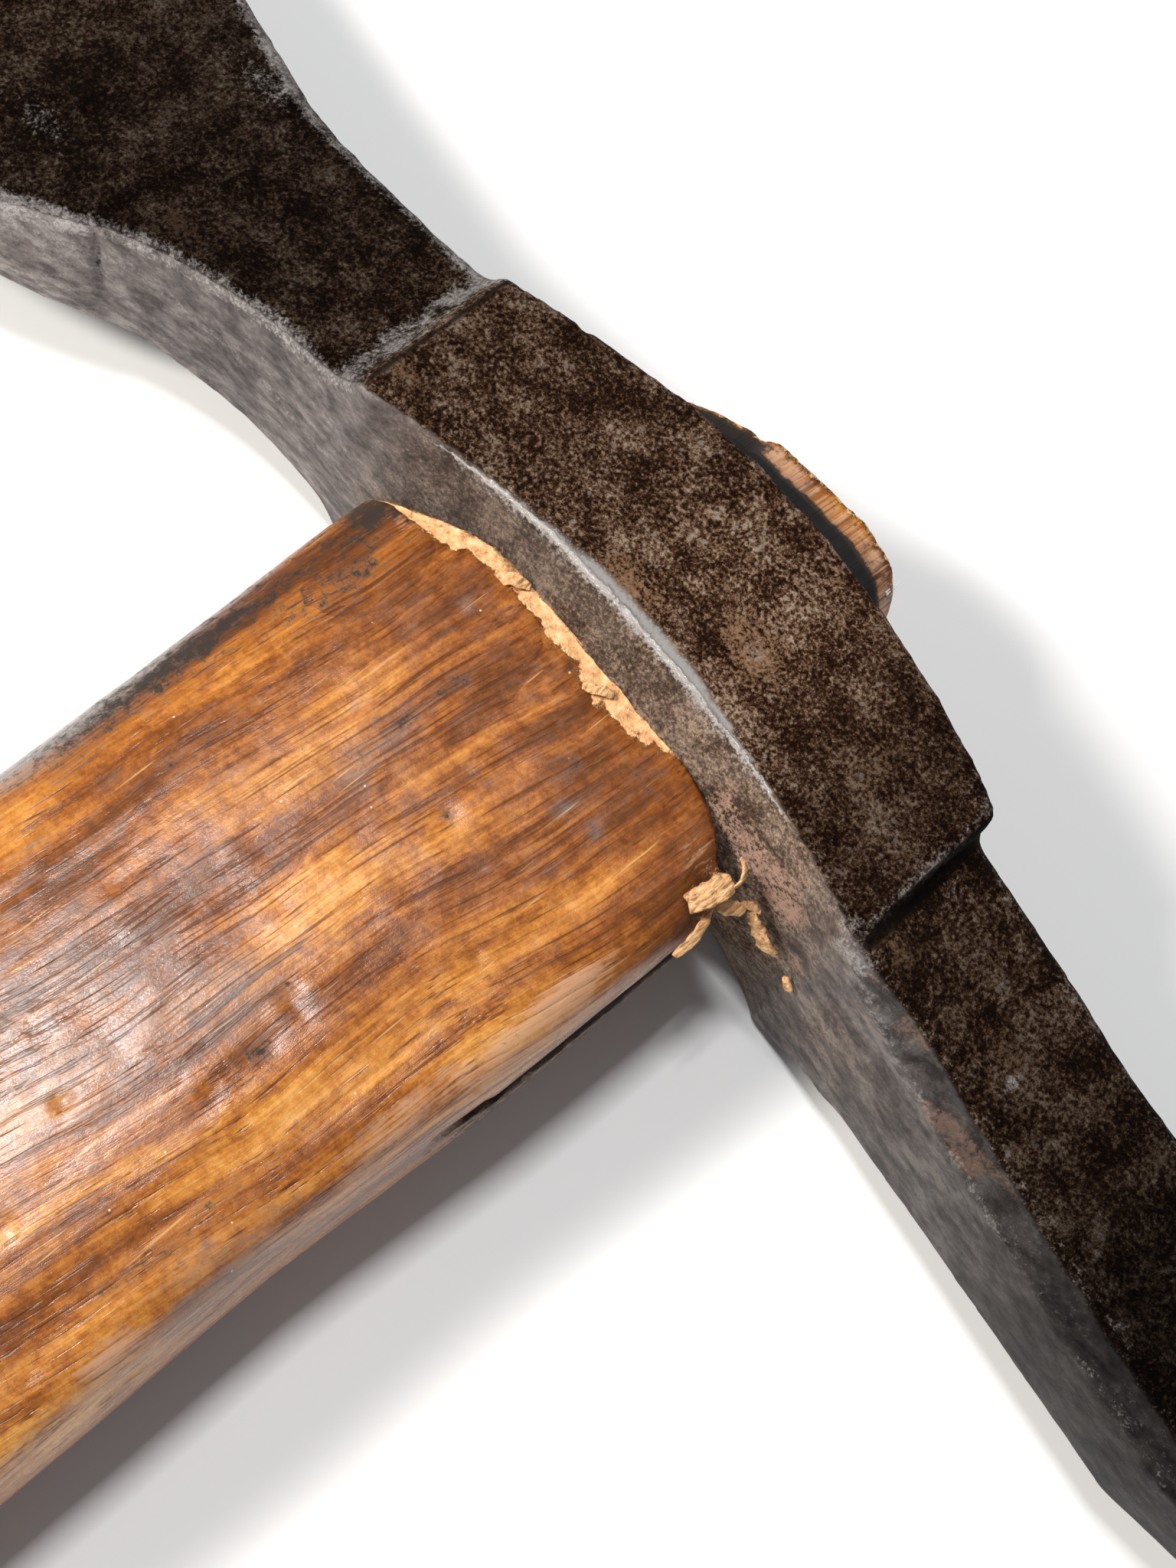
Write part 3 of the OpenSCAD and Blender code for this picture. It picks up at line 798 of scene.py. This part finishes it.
class HAMMER_OT_handle(bpy.types.Operator):
    """Shape the handle: one closed skin from the butt to the stub above the head"""

    bl_idname = "hammer.handle"
    bl_label = "Handle"

    # the crushed collar's share of its width, by x in mm
    COLLAR = [(-15, 0.2), (-11, 1.0), (-7, 0.7), (-4, 0.9), (0, 0.75), (3, 1.05), (7, 0.8),
              (10, 0.15)]
    # two small dents, z off the middle plane: middle, half sizes and depth in mm
    DENTS = [((3.1, -20.0, 8.8), (0.7, 0.7, 2.0), 0.12), ((6.8, -36.3, 8.9), (1.0, 1.2, 2.0), 0.12)]
    # each mark below is its middle and half sizes in mm and its strength
    # AMBER: bands where the oiled wood is paler, or darker where the strength is below 0
    AMBER = [
        ((3.7, -31.0, 20), (2.6, 7.0, 6), 1.0), ((4.2, -22.0, 20), (2.2, 7.0, 6), 0.9),
        ((10.6, -57.0, 20), (3.2, 9.0, 6), 0.9), ((9.8, -38.0, 20), (1.8, 8.0, 6), 0.9),
        ((-9.4, -40.0, 18), (2.2, 8.0, 6), -0.4), ((-8.0, -29.0, 18), (2.0, 7.0, 6), 0.5),
        ((-5.2, -18.0, 20), (1.0, 4.0, 6), 0.8), ((-4.0, -26.0, 20), (1.8, 6.0, 6), 0.6),
        ((14.6, -58.0, 18), (1.6, 6.0, 6), 0.7), ((9.3, -24.0, 20), (1.2, 5.0, 6), 0.5),
        ((15.0, -11.0, 19), (3.5, 4.0, 6), -1.6), ((-14.8, -20.0, 18), (4.6, 12.0, 8), -1.3),
        ((7.0, -12.0, 20), (6.0, 5.0, 6), -0.9), ((-6.0, -12.0, 20), (5.0, 4.0, 6), -1.0),
        ((6.6, -29.0, 20), (0.9, 10.0, 6), -0.5), ((-3.4, -35.0, 20), (1.0, 9.0, 6), -0.4),
        ((12.4, -36.0, 19), (0.9, 9.0, 6), -0.5)]
    # GRIME: dark smudges and black dirt
    GRIME = [
        ((-2.7, -14.6, 20), (0.6, 1.6, 5), 0.6), ((-2.8, -18.2, 20), (0.6, 1.3, 5), 0.6),
        ((-2.9, -21.6, 20), (0.5, 1.0, 5), 0.5), ((-11.6, -16.0, 19), (1.4, 4.0, 5), 0.6),
        ((-14.2, -25.5, 18), (1.0, 9.0, 6), 0.6), ((-9.2, -28.0, 19), (0.7, 6.0, 5), 0.5),
        ((3.1, -19.9, 20), (0.8, 0.8, 3), 0.6), ((6.9, -36.8, 20), (0.8, 1.2, 3), 0.7),
        ((5.6, -12.6, 20), (0.6, 1.6, 4), 0.4), ((8.2, -18.0, 20), (0.6, 4.0, 4), 0.4),
        ((-14.6, -10.5, 17), (1.6, 1.6, 5), 0.6), ((4.9, -34.0, 20), (1.0, 3.0, 4), 0.4),
        ((9.0, -9.5, 20), (1.2, 1.2, 4), 0.3), ((11.6, -45.0, 19), (0.7, 8.0, 4), 0.4)]
    # FILM_AND_SHEEN: the grey layer that hands leave, partly painted sheen where the oiled wood
    # mirrors the light
    FILM_AND_SHEEN = [
        ((-3.0, -47.0, 20), (7.0, 9.0, 9), 0.46), ((2.8, -42.0, 20), (4.0, 6.0, 9), 0.18),
        ((3.5, -35.5, 20), (2.5, 3.5, 6), 0.4), ((-16.4, -33.0, 15), (2.2, 9.0, 8), 1.6),
        ((7.0, -14.4, 20), (0.5, 1.0, 3), 0.6), ((9.2, -13.8, 20), (0.5, 0.6, 3), 0.5),
        ((-2.5, -20.0, 20), (1.0, 4.0, 4), 0.3), ((14.5, -46.0, 18), (2.0, 10.0, 6), 0.4)]
    # RUBBED: pale rubs along the arrises and beside the collar
    RUBBED = [
        ((15.6, -20.2, 20), (1.2, 3.0, 4), 0.85), ((15.4, -25.4, 20), (1.4, 3.6, 4), 0.85),
        ((15.0, -33.0, 20), (1.4, 5.0, 4), 0.65), ((14.3, -52.5, 20), (1.1, 3.4, 4), 0.7),
        ((15.2, -42.0, 20), (0.9, 6.0, 4), 0.45), ((-6.4, -16.8, 20), (0.6, 1.6, 3), 0.55),
        ((-5.2, -19.8, 20), (0.6, 1.4, 3), 0.5), ((14.6, -9.8, 20), (1.8, 1.5, 3), 0.35),
        ((-13.0, -9.6, 19), (1.4, 1.0, 3), 0.5)]

    def execute(self, context):
        sizes = context.scene.hammer_sizes
        count = RING_POINTS
        top = -sizes.under
        length = top - float(HANDLE_LOW[1])
        grip_t = float(HANDLE_HIGH[2] - HANDLE_LOW[2])
        grip_w = float(HANDLE_HIGH[0] - HANDLE_LOW[0])
        # share of the length, width, thickness, squareness of the section
        stations = [
            (0.0, sizes.shoulder_w, sizes.shoulder_t, SHOULDER_SQUARE),
            (0.15, sizes.shoulder_w - 1.2, sizes.shoulder_t + 0.6, 3.0),
            (0.45, sizes.waist_w, sizes.waist_t, 2.5),
            (0.62, sizes.waist_w, sizes.waist_t + 0.4, 2.3),
            (0.88, min(grip_w, 33.0), grip_t, 2.3),
            (0.975, grip_w - 1.5, grip_t - 1.5, 2.3),
            (1.0, grip_w - 7, grip_t - 6, 2.2),
        ]
        # rings are close together near the head, where the surface is roughest, and each gap
        # below is 6 percent wider than the last
        depths = [0.0]
        step = RING_GAP
        while depths[-1] < length - 0.4:
            depths.append(depths[-1] + step)
            if depths[-1] > ROUGH_LENGTH:
                step = min(step * 1.06, WIDEST_GAP)
        depths[-1] = length
        # the butt's end face, the body, the shoulder's front, the tenon and the stub's end face
        _, butt_w, butt_t, butt_square = stations[-1]
        rings = [flat_ring(oblong(butt_w * share, butt_t * share, butt_square, count), top - length)
                 for share in (0.2, 0.5, 0.8)]
        for depth in reversed(depths):
            section = [eased(depth / length, stations, column) for column in (1, 2, 3)]
            rings.append(flat_ring(oblong(*section, count), top - depth))
        body_rings = len(rings)
        tenon = oblong(sizes.tenon_l, sizes.tenon_w, TENON_SQUARE, count)
        outer = rings[-1][:, (0, 2)]
        rings += [flat_ring(outer + (tenon - outer) * share, top)
                  for share in np.linspace(0.08, 1, 14)]
        rings += [flat_ring(tenon, y) for y in np.arange(top + 0.4, STUB_END - 0.2, 0.4)]
        rings += [flat_ring(tenon * share, STUB_END) for share in np.linspace(1, 0.06, 22)]
        points = np.concatenate(rings)

        body = (np.arange(len(points)) < body_rings * count).astype(float)
        points, at = self.carve(points, sizes, body, top)
        points[:, 2] += MID_Z
        faces = tube_faces(len(rings), count)
        handle = new_piece("hardwood_handle", points, faces, self.wear(points, at))
        finish_piece(handle, "handle", oiled_ash(context.scene.hammer_colours))
        return {"FINISHED"}

    def carve(self, points, sizes, body, top):
        """The shaped points, and how far each belongs to the handle's places, from 0 to 1."""
        x, y, z = points.T.copy()
        depth = top - y
        at = SimpleNamespace(x=x, y=y, z=z, depth=depth, body=body)
        outward = np.stack([x / (sizes.shoulder_w / 2) ** 2, 0 * x,
                            z / (sizes.shoulder_t / 2) ** 2], axis=1)
        outward /= np.maximum(np.linalg.norm(outward, axis=1), 1e-9)[:, None]

        # shaved by hand: fuller on the pick side by the head, and slimmer just below
        points[:, 0] += body * smooth(x, 4, 14) * to_lines(y, [
            (-90, 0), (-52, -0.3), (-43, -0.3), (-33, 0.2), (-27, 0.5)])
        points[:, 0] += body * smooth(-x, 4, 14) * 0.35 * smooth(y, -40, -20)

        # uneven along the grain, with shallow hollows and two small dents
        near = smooth(-depth, -95, -70)
        push = 0.2 * noise(points, (14, 26, 14), seed=31)
        push += 0.06 * near * fractal(points, (0.9, 26, 0.9), 2, seed=33)
        push += 0.05 * near * fractal(points, 2.4, 2, seed=35)
        push -= 0.16 * near * smooth(noise(points, (1.6, 3.2, 1.6), seed=37), 0.7, 0.98)
        push -= marks(points, self.DENTS)
        push *= body * (0.35 + 0.65 * smooth(depth, 0.0, 6.0))
        # the pick side's upper arris is crisper than the rest of the section
        push += 0.75 * body * smooth(x, 10.5, 14.5) * smooth(z, 3.5, 6.5) * smooth(y, -80, -58)

        # crushed collar: a ragged bevel under the head, widest on the blade side
        ragged = sizes.collar * (1 + 0.4 * fractal(points, 1.0, 3, seed=41))
        ragged = np.where(z > 0, ragged * to_lines(x, self.COLLAR), 0.5 * sizes.collar)
        at.collar = smooth(ragged - depth, -0.15, 0.3) * body
        push -= at.collar * (0.3 + 0.2 * fractal(points, 1.0, 3, seed=43))

        # a split runs along the pick side's arris, and the corner above it is broken
        split_at = 3.2 + 0.5 * noise(points, (4, 4, 4), seed=51)
        at.split = smooth(0.55 - np.abs(z - split_at), 0.0, 0.4) * smooth(x, 12, 14)
        at.split *= smooth(y, -33, -28) * smooth(-y, 8.5, 10) * body
        push -= 0.7 * at.split
        at.corner = smooth(x, 12.5, 16) * smooth(z, 2, 5) * smooth(y, -13.5, -10) * body
        push -= at.corner * (0.45 + fractal(points, 1.0, 3, seed=53))
        points += outward * push[:, None]

        # the front face meets the hollow under each cheek
        at_front = smooth(-depth, -3.0, 0.0) * body + (1 - body) * (np.abs(depth) < 1e-6)
        splayed = at.collar * 0.3 * fractal(points, 1.2, 3, seed=45)
        points[:, 1] += at_front * (shoulder_front(x, z, sizes) + splayed)

        # the stub ends in a break, with torn fibres
        above = np.clip((y - BREAK_FROM) / (STUB_END - BREAK_FROM), 0, 1) * (1 - body)
        points[:, 1] -= above * (STUB_END - stub_end(x, z))
        at.side = smooth(y, top + 2, top + 6) * (1 - body)
        torn = at.side * 0.16 * fractal(points, (1.4, 5.0, 1.4), 3, seed=49)
        points += outward * torn[:, None]
        return points, at

    def wear(self, points, at):
        """What the finish reads at each point: fresh wood, rubs, dirt with painted shade, a grey
        layer with painted sheen, and amber bands.
        """
        x, y, z, body = at.x, at.y, at.z, at.body
        end = (1 - body) * (y > STUB_END - 0.01)
        stub = at.side * (1 - end)
        fresh = at.collar * smooth(z, 2, 5) * smooth(-x, -10.0, -7.0) + 0.62 * at.corner
        # darker within 9 mm of the head and along the blade side's edge; painted shade on the pick
        # side's lower flank and in its split
        grime_and_shade = 0.2 * smooth(-at.depth, -9, 0) + 0.3 * smooth(-x, 11, 15)
        grime_and_shade += 0.7 * smooth(x, 14, 16.5) * smooth(-z, -3.6, -2.4) * smooth(y, -36, -28)
        grime_and_shade += marks(points, self.GRIME)
        # on the stub: a little darker all over, and near black below the head's edge and on its
        # blade side, a painted shadow
        stub_dirt_and_shadow = 0.3 + 1.2 * smooth(-x, 2.2, 3.6) + 2 * smooth(-y, -12.2, -11.8)
        return {"fresh": np.maximum(fresh, 0.6 * end),
                "rubbed": 0.62 * stub + body * marks(points, self.RUBBED),
                "grime_and_shade": body * grime_and_shade + 0.9 * at.split + 0.1 * end + stub * stub_dirt_and_shadow,
                "film_and_sheen": 0.3 * stub + body * marks(points, self.FILM_AND_SHEEN),
                "amber": body * marks(points, self.AMBER)}


# ------------------------------------------------------------------ wedges and torn wood


class HAMMER_OT_wedges(bpy.types.Operator):
    """Drive the wedges: trimmed to the broken end of the stub, a little proud of it"""

    bl_idname = "hammer.wedges"
    bl_label = "Wedges"

    def execute(self, context):
        colours = context.scene.hammer_colours
        finishes = {"wood_wedge": (torn_ash(colours), "bare_hardwood", 0.15),
                    "steel_wedge": (wedge_steel(colours), "wedge_steel", 0.5)}
        for node, (material, slot, proud) in finishes.items():
            mesh = remeshed_node(node, 0.3)
            points = mesh_rows(mesh.vertices, "co", 3)
            edges = mesh_rows(mesh.edges, "vertices", 2, np.int64)
            points = relaxed(points, edges, 2)
            x, y, z = points.T.copy()
            above = np.clip((y - BREAK_FROM) / (STUB_END - BREAK_FROM), 0, 1)
            end = stub_end(x if node == "wood_wedge" else 0 * x, z - MID_Z)
            points[:, 1] -= above * (STUB_END - end - proud)
            # hammering spreads the head of the steel wedge
            points[:, 0] *= 1 + (0.25 * above ** 8 if node == "steel_wedge" else 0)
            points[:, 1] += 0.1 * above ** 4 * fractal(points, 1.2, 2, seed=71)
            piece = new_piece(f"driven_{node}", points, [tuple(f.vertices) for f in mesh.polygons])
            bpy.data.meshes.remove(mesh)
            finish_piece(piece, node, material)
        return {"FINISHED"}


def through(path, count):
    """Points spaced along a smooth curve through the path's points."""
    path = np.array(path, dtype=float)
    ends = np.vstack([2 * path[0] - path[1], path, 2 * path[-1] - path[-2]])
    result = []
    for t in np.linspace(0, len(path) - 1.001, count):
        i = int(t)
        u = t - i
        a, b, c, d = ends[i:i + 4]
        result.append(0.5 * (2 * b + (c - a) * u + (2 * a - 5 * b + 4 * c - d) * u ** 2
                             + (3 * b - a - 3 * c + d) * u ** 3))
    return np.array(result)


def shaving(path, width, thick, face, seed):
    """Points and faces of a curled sliver: a flat strip along a path, thin at both ends."""
    steps, sides = 26, 12
    middle = through(path, steps)
    along = np.gradient(middle, axis=0)
    along /= np.linalg.norm(along, axis=1)[:, None]
    across = np.cross(np.array(face, dtype=float), along)
    across /= np.linalg.norm(across, axis=1)[:, None]
    up = np.cross(along, across)
    taper = np.sin(np.linspace(0.12, 0.93, steps) * math.pi) ** 0.5
    rings = []
    for j in range(sides):
        angle = 2 * math.pi * j / sides
        c, s = math.cos(angle), math.sin(angle)
        out = (across * (width / 2 * np.sign(c) * abs(c) ** 0.6)
               + up * (thick / 2 * np.sign(s) * abs(s) ** 0.6))
        rings.append(middle + out * taper[:, None])
    points = np.stack(rings, axis=1).reshape(-1, 3)
    points += 0.16 * width * np.stack([fractal(points, 0.5, 2, seed + k) for k in range(3)], axis=1)
    return points, tube_faces(steps, sides)


def fibre_tree(material):
    """Geometry nodes that stand torn fibres along a path, at random lengths and leans."""
    tree = bpy.data.node_groups.new("Torn fibres", "GeometryNodeTree")
    tree.interface.new_socket("Path", in_out="INPUT", socket_type="NodeSocketGeometry")
    for name, kind, default in (
            ("Count", "NodeSocketInt", 90), ("Length", "NodeSocketFloat", 0.8 * MM),
            ("Width", "NodeSocketFloat", 0.1 * MM), ("Lean", "NodeSocketFloat", 0.5),
            ("Seed", "NodeSocketInt", 5)):
        socket = tree.interface.new_socket(name, in_out="INPUT", socket_type=kind)
        socket.default_value = default
    tree.interface.new_socket("Fibres", in_out="OUTPUT", socket_type="NodeSocketGeometry")
    given = tree.nodes.new("NodeGroupInput").outputs
    curve = add(tree, "GeometryNodeMeshToCurve", {"Mesh": given["Path"]})
    points = add(tree, "GeometryNodeCurveToPoints", {"Curve": curve, "Count": given["Count"]})
    scatter = add(tree, "FunctionNodeRandomValue", {
        0: Vector((-0.3, -0.4, -0.3)) * MM, 1: Vector((0.3, 0.2, 0.1)) * MM,
        "Seed": given["Seed"]}, data_type="FLOAT_VECTOR")
    points = add(tree, "GeometryNodeSetPosition", {"Geometry": points, "Offset": scatter})
    sliver = add(tree, "GeometryNodeMeshCone", {
        "Vertices": 5, "Radius Top": 0.3, "Radius Bottom": 1.0, "Depth": 1.0})
    turn = add(tree, "FunctionNodeRandomValue", {
        0: (-1.0, -1.0, -1.0), 1: (1.0, 1.0, 1.0), "Seed": given["Seed"]}, data_type="FLOAT_VECTOR")
    turn = add(tree, "ShaderNodeVectorMath", {0: turn, "Scale": given["Lean"]}, operation="SCALE")
    upright = (-math.pi / 2, 0.0, 0.0)
    turn = add(tree, "ShaderNodeVectorMath", {0: turn, 1: upright}, operation="ADD")
    longer = add(tree, "FunctionNodeRandomValue", {2: 0.4, 3: 1.5, "Seed": given["Seed"]}, out=1)
    length = add(tree, "ShaderNodeMath", {0: longer, 1: given["Length"]}, operation="MULTIPLY")
    size = add(tree, "ShaderNodeCombineXYZ", {
        "X": given["Width"], "Y": given["Width"], "Z": length})
    fibres = add(tree, "GeometryNodeInstanceOnPoints", {
        "Points": points, "Instance": sliver, "Rotation": turn, "Scale": size})
    fibres = add(tree, "GeometryNodeRealizeInstances", {"Geometry": fibres})
    fibres = add(tree, "GeometryNodeSetMaterial", {"Geometry": fibres, "Material": material})
    result = tree.nodes.new("NodeGroupOutput")
    tree.links.new(fibres, result.inputs["Fibres"])
    return tree


class HAMMER_OT_splinters(bpy.types.Operator):
    """Tear the wood: fibres along the crushed collar, and the chips and curls at its corner"""

    bl_idname = "hammer.splinters"
    bl_label = "Torn fibres and chips"

    # path in mm, width, thickness and the way the strip faces
    CHIPS = [
        ([(15.9, -12.3, 19.6), (16.3, -10.9, 20.2), (16.5, -9.5, 20.4)], 1.7, 0.6, (0.3, 0, 1)),
        ([(16.9, -10.1, 20.1), (16.9, -9.2, 20.6), (16.4, -8.6, 20.9), (15.9, -8.5, 21.2)],
         0.5, 0.18, (1, 0, 0.4)),
        ([(17.0, -10.5, 18.4), (17.6, -10.0, 18.3), (18.2, -9.4, 17.8)], 1.0, 0.45, (0.2, -0.4, 1)),
        ([(17.9, -9.2, 18.3), (18.4, -8.9, 17.9), (18.8, -8.7, 17.3)], 0.9, 0.4, (0, -1, 0.5)),
        ([(18.5, -9.1, 17.7), (19.8, -9.0, 16.1), (20.9, -8.8, 14.6), (21.3, -8.5, 14.0)],
         1.2, 0.34, (0, -1, 0.3)),
        ([(16.8, -10.9, 18.5), (17.5, -12.6, 17.8), (17.5, -14.3, 17.3)], 0.75, 0.25, (0.7, 0, 1)),
        ([(22.7, -8.7, 13.4), (23.2, -8.8, 13.0), (23.6, -8.8, 12.6)], 0.6, 0.35, (0, -1, 0.3)),
        ([(-6.4, -8.0, 20.7), (-5.3, -7.4, 21.0), (-4.5, -6.9, 20.9)], 0.9, 0.25, (0.2, -0.3, 1)),
        ([(2.2, -8.6, 20.8), (3.1, -8.0, 21.0), (3.8, -7.5, 20.8)], 0.7, 0.22, (0.2, -0.3, 1))]

    def execute(self, context):
        sizes = context.scene.hammer_sizes
        material = torn_ash(context.scene.hammer_colours)
        tree = fibre_tree(material)
        # along the crushed collar, just inside the shoulder's rounded outline
        x = np.linspace(-13.0, 8.5, 44)
        off_side = 1 - np.abs(2 * x / sizes.shoulder_w) ** SHOULDER_SQUARE
        z = 0.94 * sizes.shoulder_t / 2 * off_side ** (1 / SHOULDER_SQUARE)
        y = -sizes.under + shoulder_front(x, z, sizes) - 0.75
        collar = np.stack([x, y, z + MID_Z], axis=1)
        # along the upper edge of the stub's broken end
        x = np.linspace(-9.4, 9.4, 40)
        stub = np.stack([x, stub_end(x, 0 * x) - 0.5, 0 * x + MID_Z + 0.44 * sizes.tenon_w], axis=1)
        # path, number of fibres, their length and width in mm
        paths = {"collar": (collar, 70, 0.5, 0.05), "stub": (stub, 60, 0.6, 0.07)}
        for name, (points, count, length, width) in paths.items():
            self.fibres(f"torn_fibres_{name}", points, tree, {
                "Count": count, "Length": length * MM, "Width": width * MM})

        points, faces = [], []
        for number, (path, width, thick, face) in enumerate(self.CHIPS):
            more, sides = shaving(path, width, thick, face, 80 + 5 * number)
            start = sum(len(group) for group in points)
            points.append(more)
            faces += [tuple(start + corner for corner in side) for side in sides]
        chips = new_piece("torn_chips", np.concatenate(points), faces)
        finish_piece(chips, None, material)
        return {"FINISHED"}

    def fibres(self, name, points, tree, values):
        """Runs the tree over a path and keeps its result as a plain piece."""
        mesh = bpy.data.meshes.new(name)
        mesh.from_pydata((points * MM).tolist(), [(i, i + 1) for i in range(len(points) - 1)], [])
        carrier = bpy.data.objects.new(name + "_path", mesh)
        bpy.context.scene.collection.objects.link(carrier)
        modifier = carrier.modifiers.new("Fibres", "NODES")
        modifier.node_group = tree
        for item in tree.interface.items_tree:
            if item.in_out == "INPUT" and item.name in values:
                modifier[item.identifier] = values[item.name]
        graph = bpy.context.evaluated_depsgraph_get()
        result = bpy.data.meshes.new_from_object(carrier.evaluated_get(graph))
        bpy.data.objects.remove(carrier)
        piece = bpy.data.objects.new(name, result)
        bpy.context.scene.collection.objects.link(piece)
        finish_piece(piece, None, result.materials[0])


# ------------------------------------------------------------------ the stage


def area_light(name, power, side, colour, target, way, distance):
    """A square soft light that shines on a target in mm from a distance in metres."""
    light = bpy.data.lights.new(name, "AREA")
    light.energy = power
    light.size = side
    light.color = colour
    lamp = bpy.data.objects.new(name, light)
    target = Vector(target) * MM
    lamp.location = target + Vector(way).normalized() * distance
    lamp.rotation_euler = (target - lamp.location).to_track_quat("-Z", "Y").to_euler()
    bpy.context.scene.collection.objects.link(lamp)


class HAMMER_OT_stage(bpy.types.Operator):
    """Set the camera, the lights and a plain pale floor"""

    bl_idname = "hammer.stage"
    bl_label = "Stage"

    def execute(self, context):
        scene = context.scene
        stage = scene.hammer_stage
        scene.view_settings.view_transform = "Standard"

        camera_data = bpy.data.cameras.new("Camera")
        camera_data.lens = stage.lens
        camera_data.shift_x, camera_data.shift_y = CAMERA_SHIFT
        camera_data.clip_start = 0.005
        camera = bpy.data.objects.new("Camera", camera_data)
        forward = Vector(CAMERA_LOOK).normalized()
        right = forward.cross(Vector(CAMERA_UP)).normalized()
        turn = Matrix((right, right.cross(forward), -forward)).transposed().to_4x4()
        camera.matrix_world = Matrix.Translation(Vector(CAMERA_AT) * MM) @ turn
        scene.collection.objects.link(camera)
        scene.camera = camera

        # a warm key light, and a small one above that the oiled wood mirrors
        area_light("Key", stage.key_power, side=0.14, colour=(1.0, 0.96, 0.9),
                   target=(0, -20, 12), way=(-0.477, -0.512, 0.712), distance=0.75)
        area_light("Top", stage.top_power, side=0.08, colour=(1.0, 1.0, 1.0),
                   target=(3.5, -48, 20), way=(-0.20, 0.0, 0.98), distance=0.6)

        world = bpy.data.worlds.new("Soft studio")
        world.use_nodes = True
        background = world.node_tree.nodes["Background"]
        background.inputs["Color"].default_value = (0.93, 0.96, 1.0, 1.0)
        background.inputs["Strength"].default_value = stage.fill_strength
        scene.world = world

        floor = bpy.data.meshes.new("Floor")
        corners = [(-1, -1, 0), (1, -1, 0), (1, 1, 0), (-1, 1, 0)]
        floor.from_pydata([Vector(corner) * FLOOR_HALF for corner in corners], [], [(0, 1, 2, 3)])
        floor_object = bpy.data.objects.new("Floor", floor)
        scene.collection.objects.link(floor_object)
        material, _, _, shader = new_material("Matt paper")
        shader.inputs["Base Color"].default_value = (*stage.floor, 1.0)
        shader.inputs["Roughness"].default_value = 0.9
        floor.materials.append(material)
        return {"FINISHED"}


class HAMMER_PT_panel(bpy.types.Panel):
    """Lists the hammer's pieces"""

    bl_label = "Chipping hammer"
    bl_idname = "HAMMER_PT_panel"
    bl_space_type = "VIEW_3D"
    bl_region_type = "UI"
    bl_category = "Hammer"

    def draw(self, context):
        for operator in OPERATORS:
            self.layout.operator(operator.bl_idname)
        for group in (context.scene.hammer_sizes, context.scene.hammer_colours,
                      context.scene.hammer_stage):
            box = self.layout.box()
            for name in group.__annotations__:
                box.prop(group, name)


GROUPS = {"hammer_sizes": HammerSizes, "hammer_colours": HammerColours, "hammer_stage": HammerStage}
OPERATORS = (HAMMER_OT_stage, HAMMER_OT_head, HAMMER_OT_handle, HAMMER_OT_wedges,
             HAMMER_OT_splinters)


def register():
    """Adds the hammer's values, operators and panel to Blender."""
    for name, group in GROUPS.items():
        bpy.utils.register_class(group)
        setattr(bpy.types.Scene, name, bpy.props.PointerProperty(type=group))
    for operator in OPERATORS:
        bpy.utils.register_class(operator)
    bpy.utils.register_class(HAMMER_PT_panel)


def unregister():
    """Takes them out again."""
    bpy.utils.unregister_class(HAMMER_PT_panel)
    for operator in OPERATORS:
        bpy.utils.unregister_class(operator)
    for name, group in GROUPS.items():
        delattr(bpy.types.Scene, name)
        bpy.utils.unregister_class(group)


def main():
    """Builds the whole hammer."""
    register()
    bpy.ops.hammer.stage()
    bpy.ops.hammer.head()
    bpy.ops.hammer.handle()
    bpy.ops.hammer.wedges()
    bpy.ops.hammer.splinters()


if __name__ == "__main__":
    main()
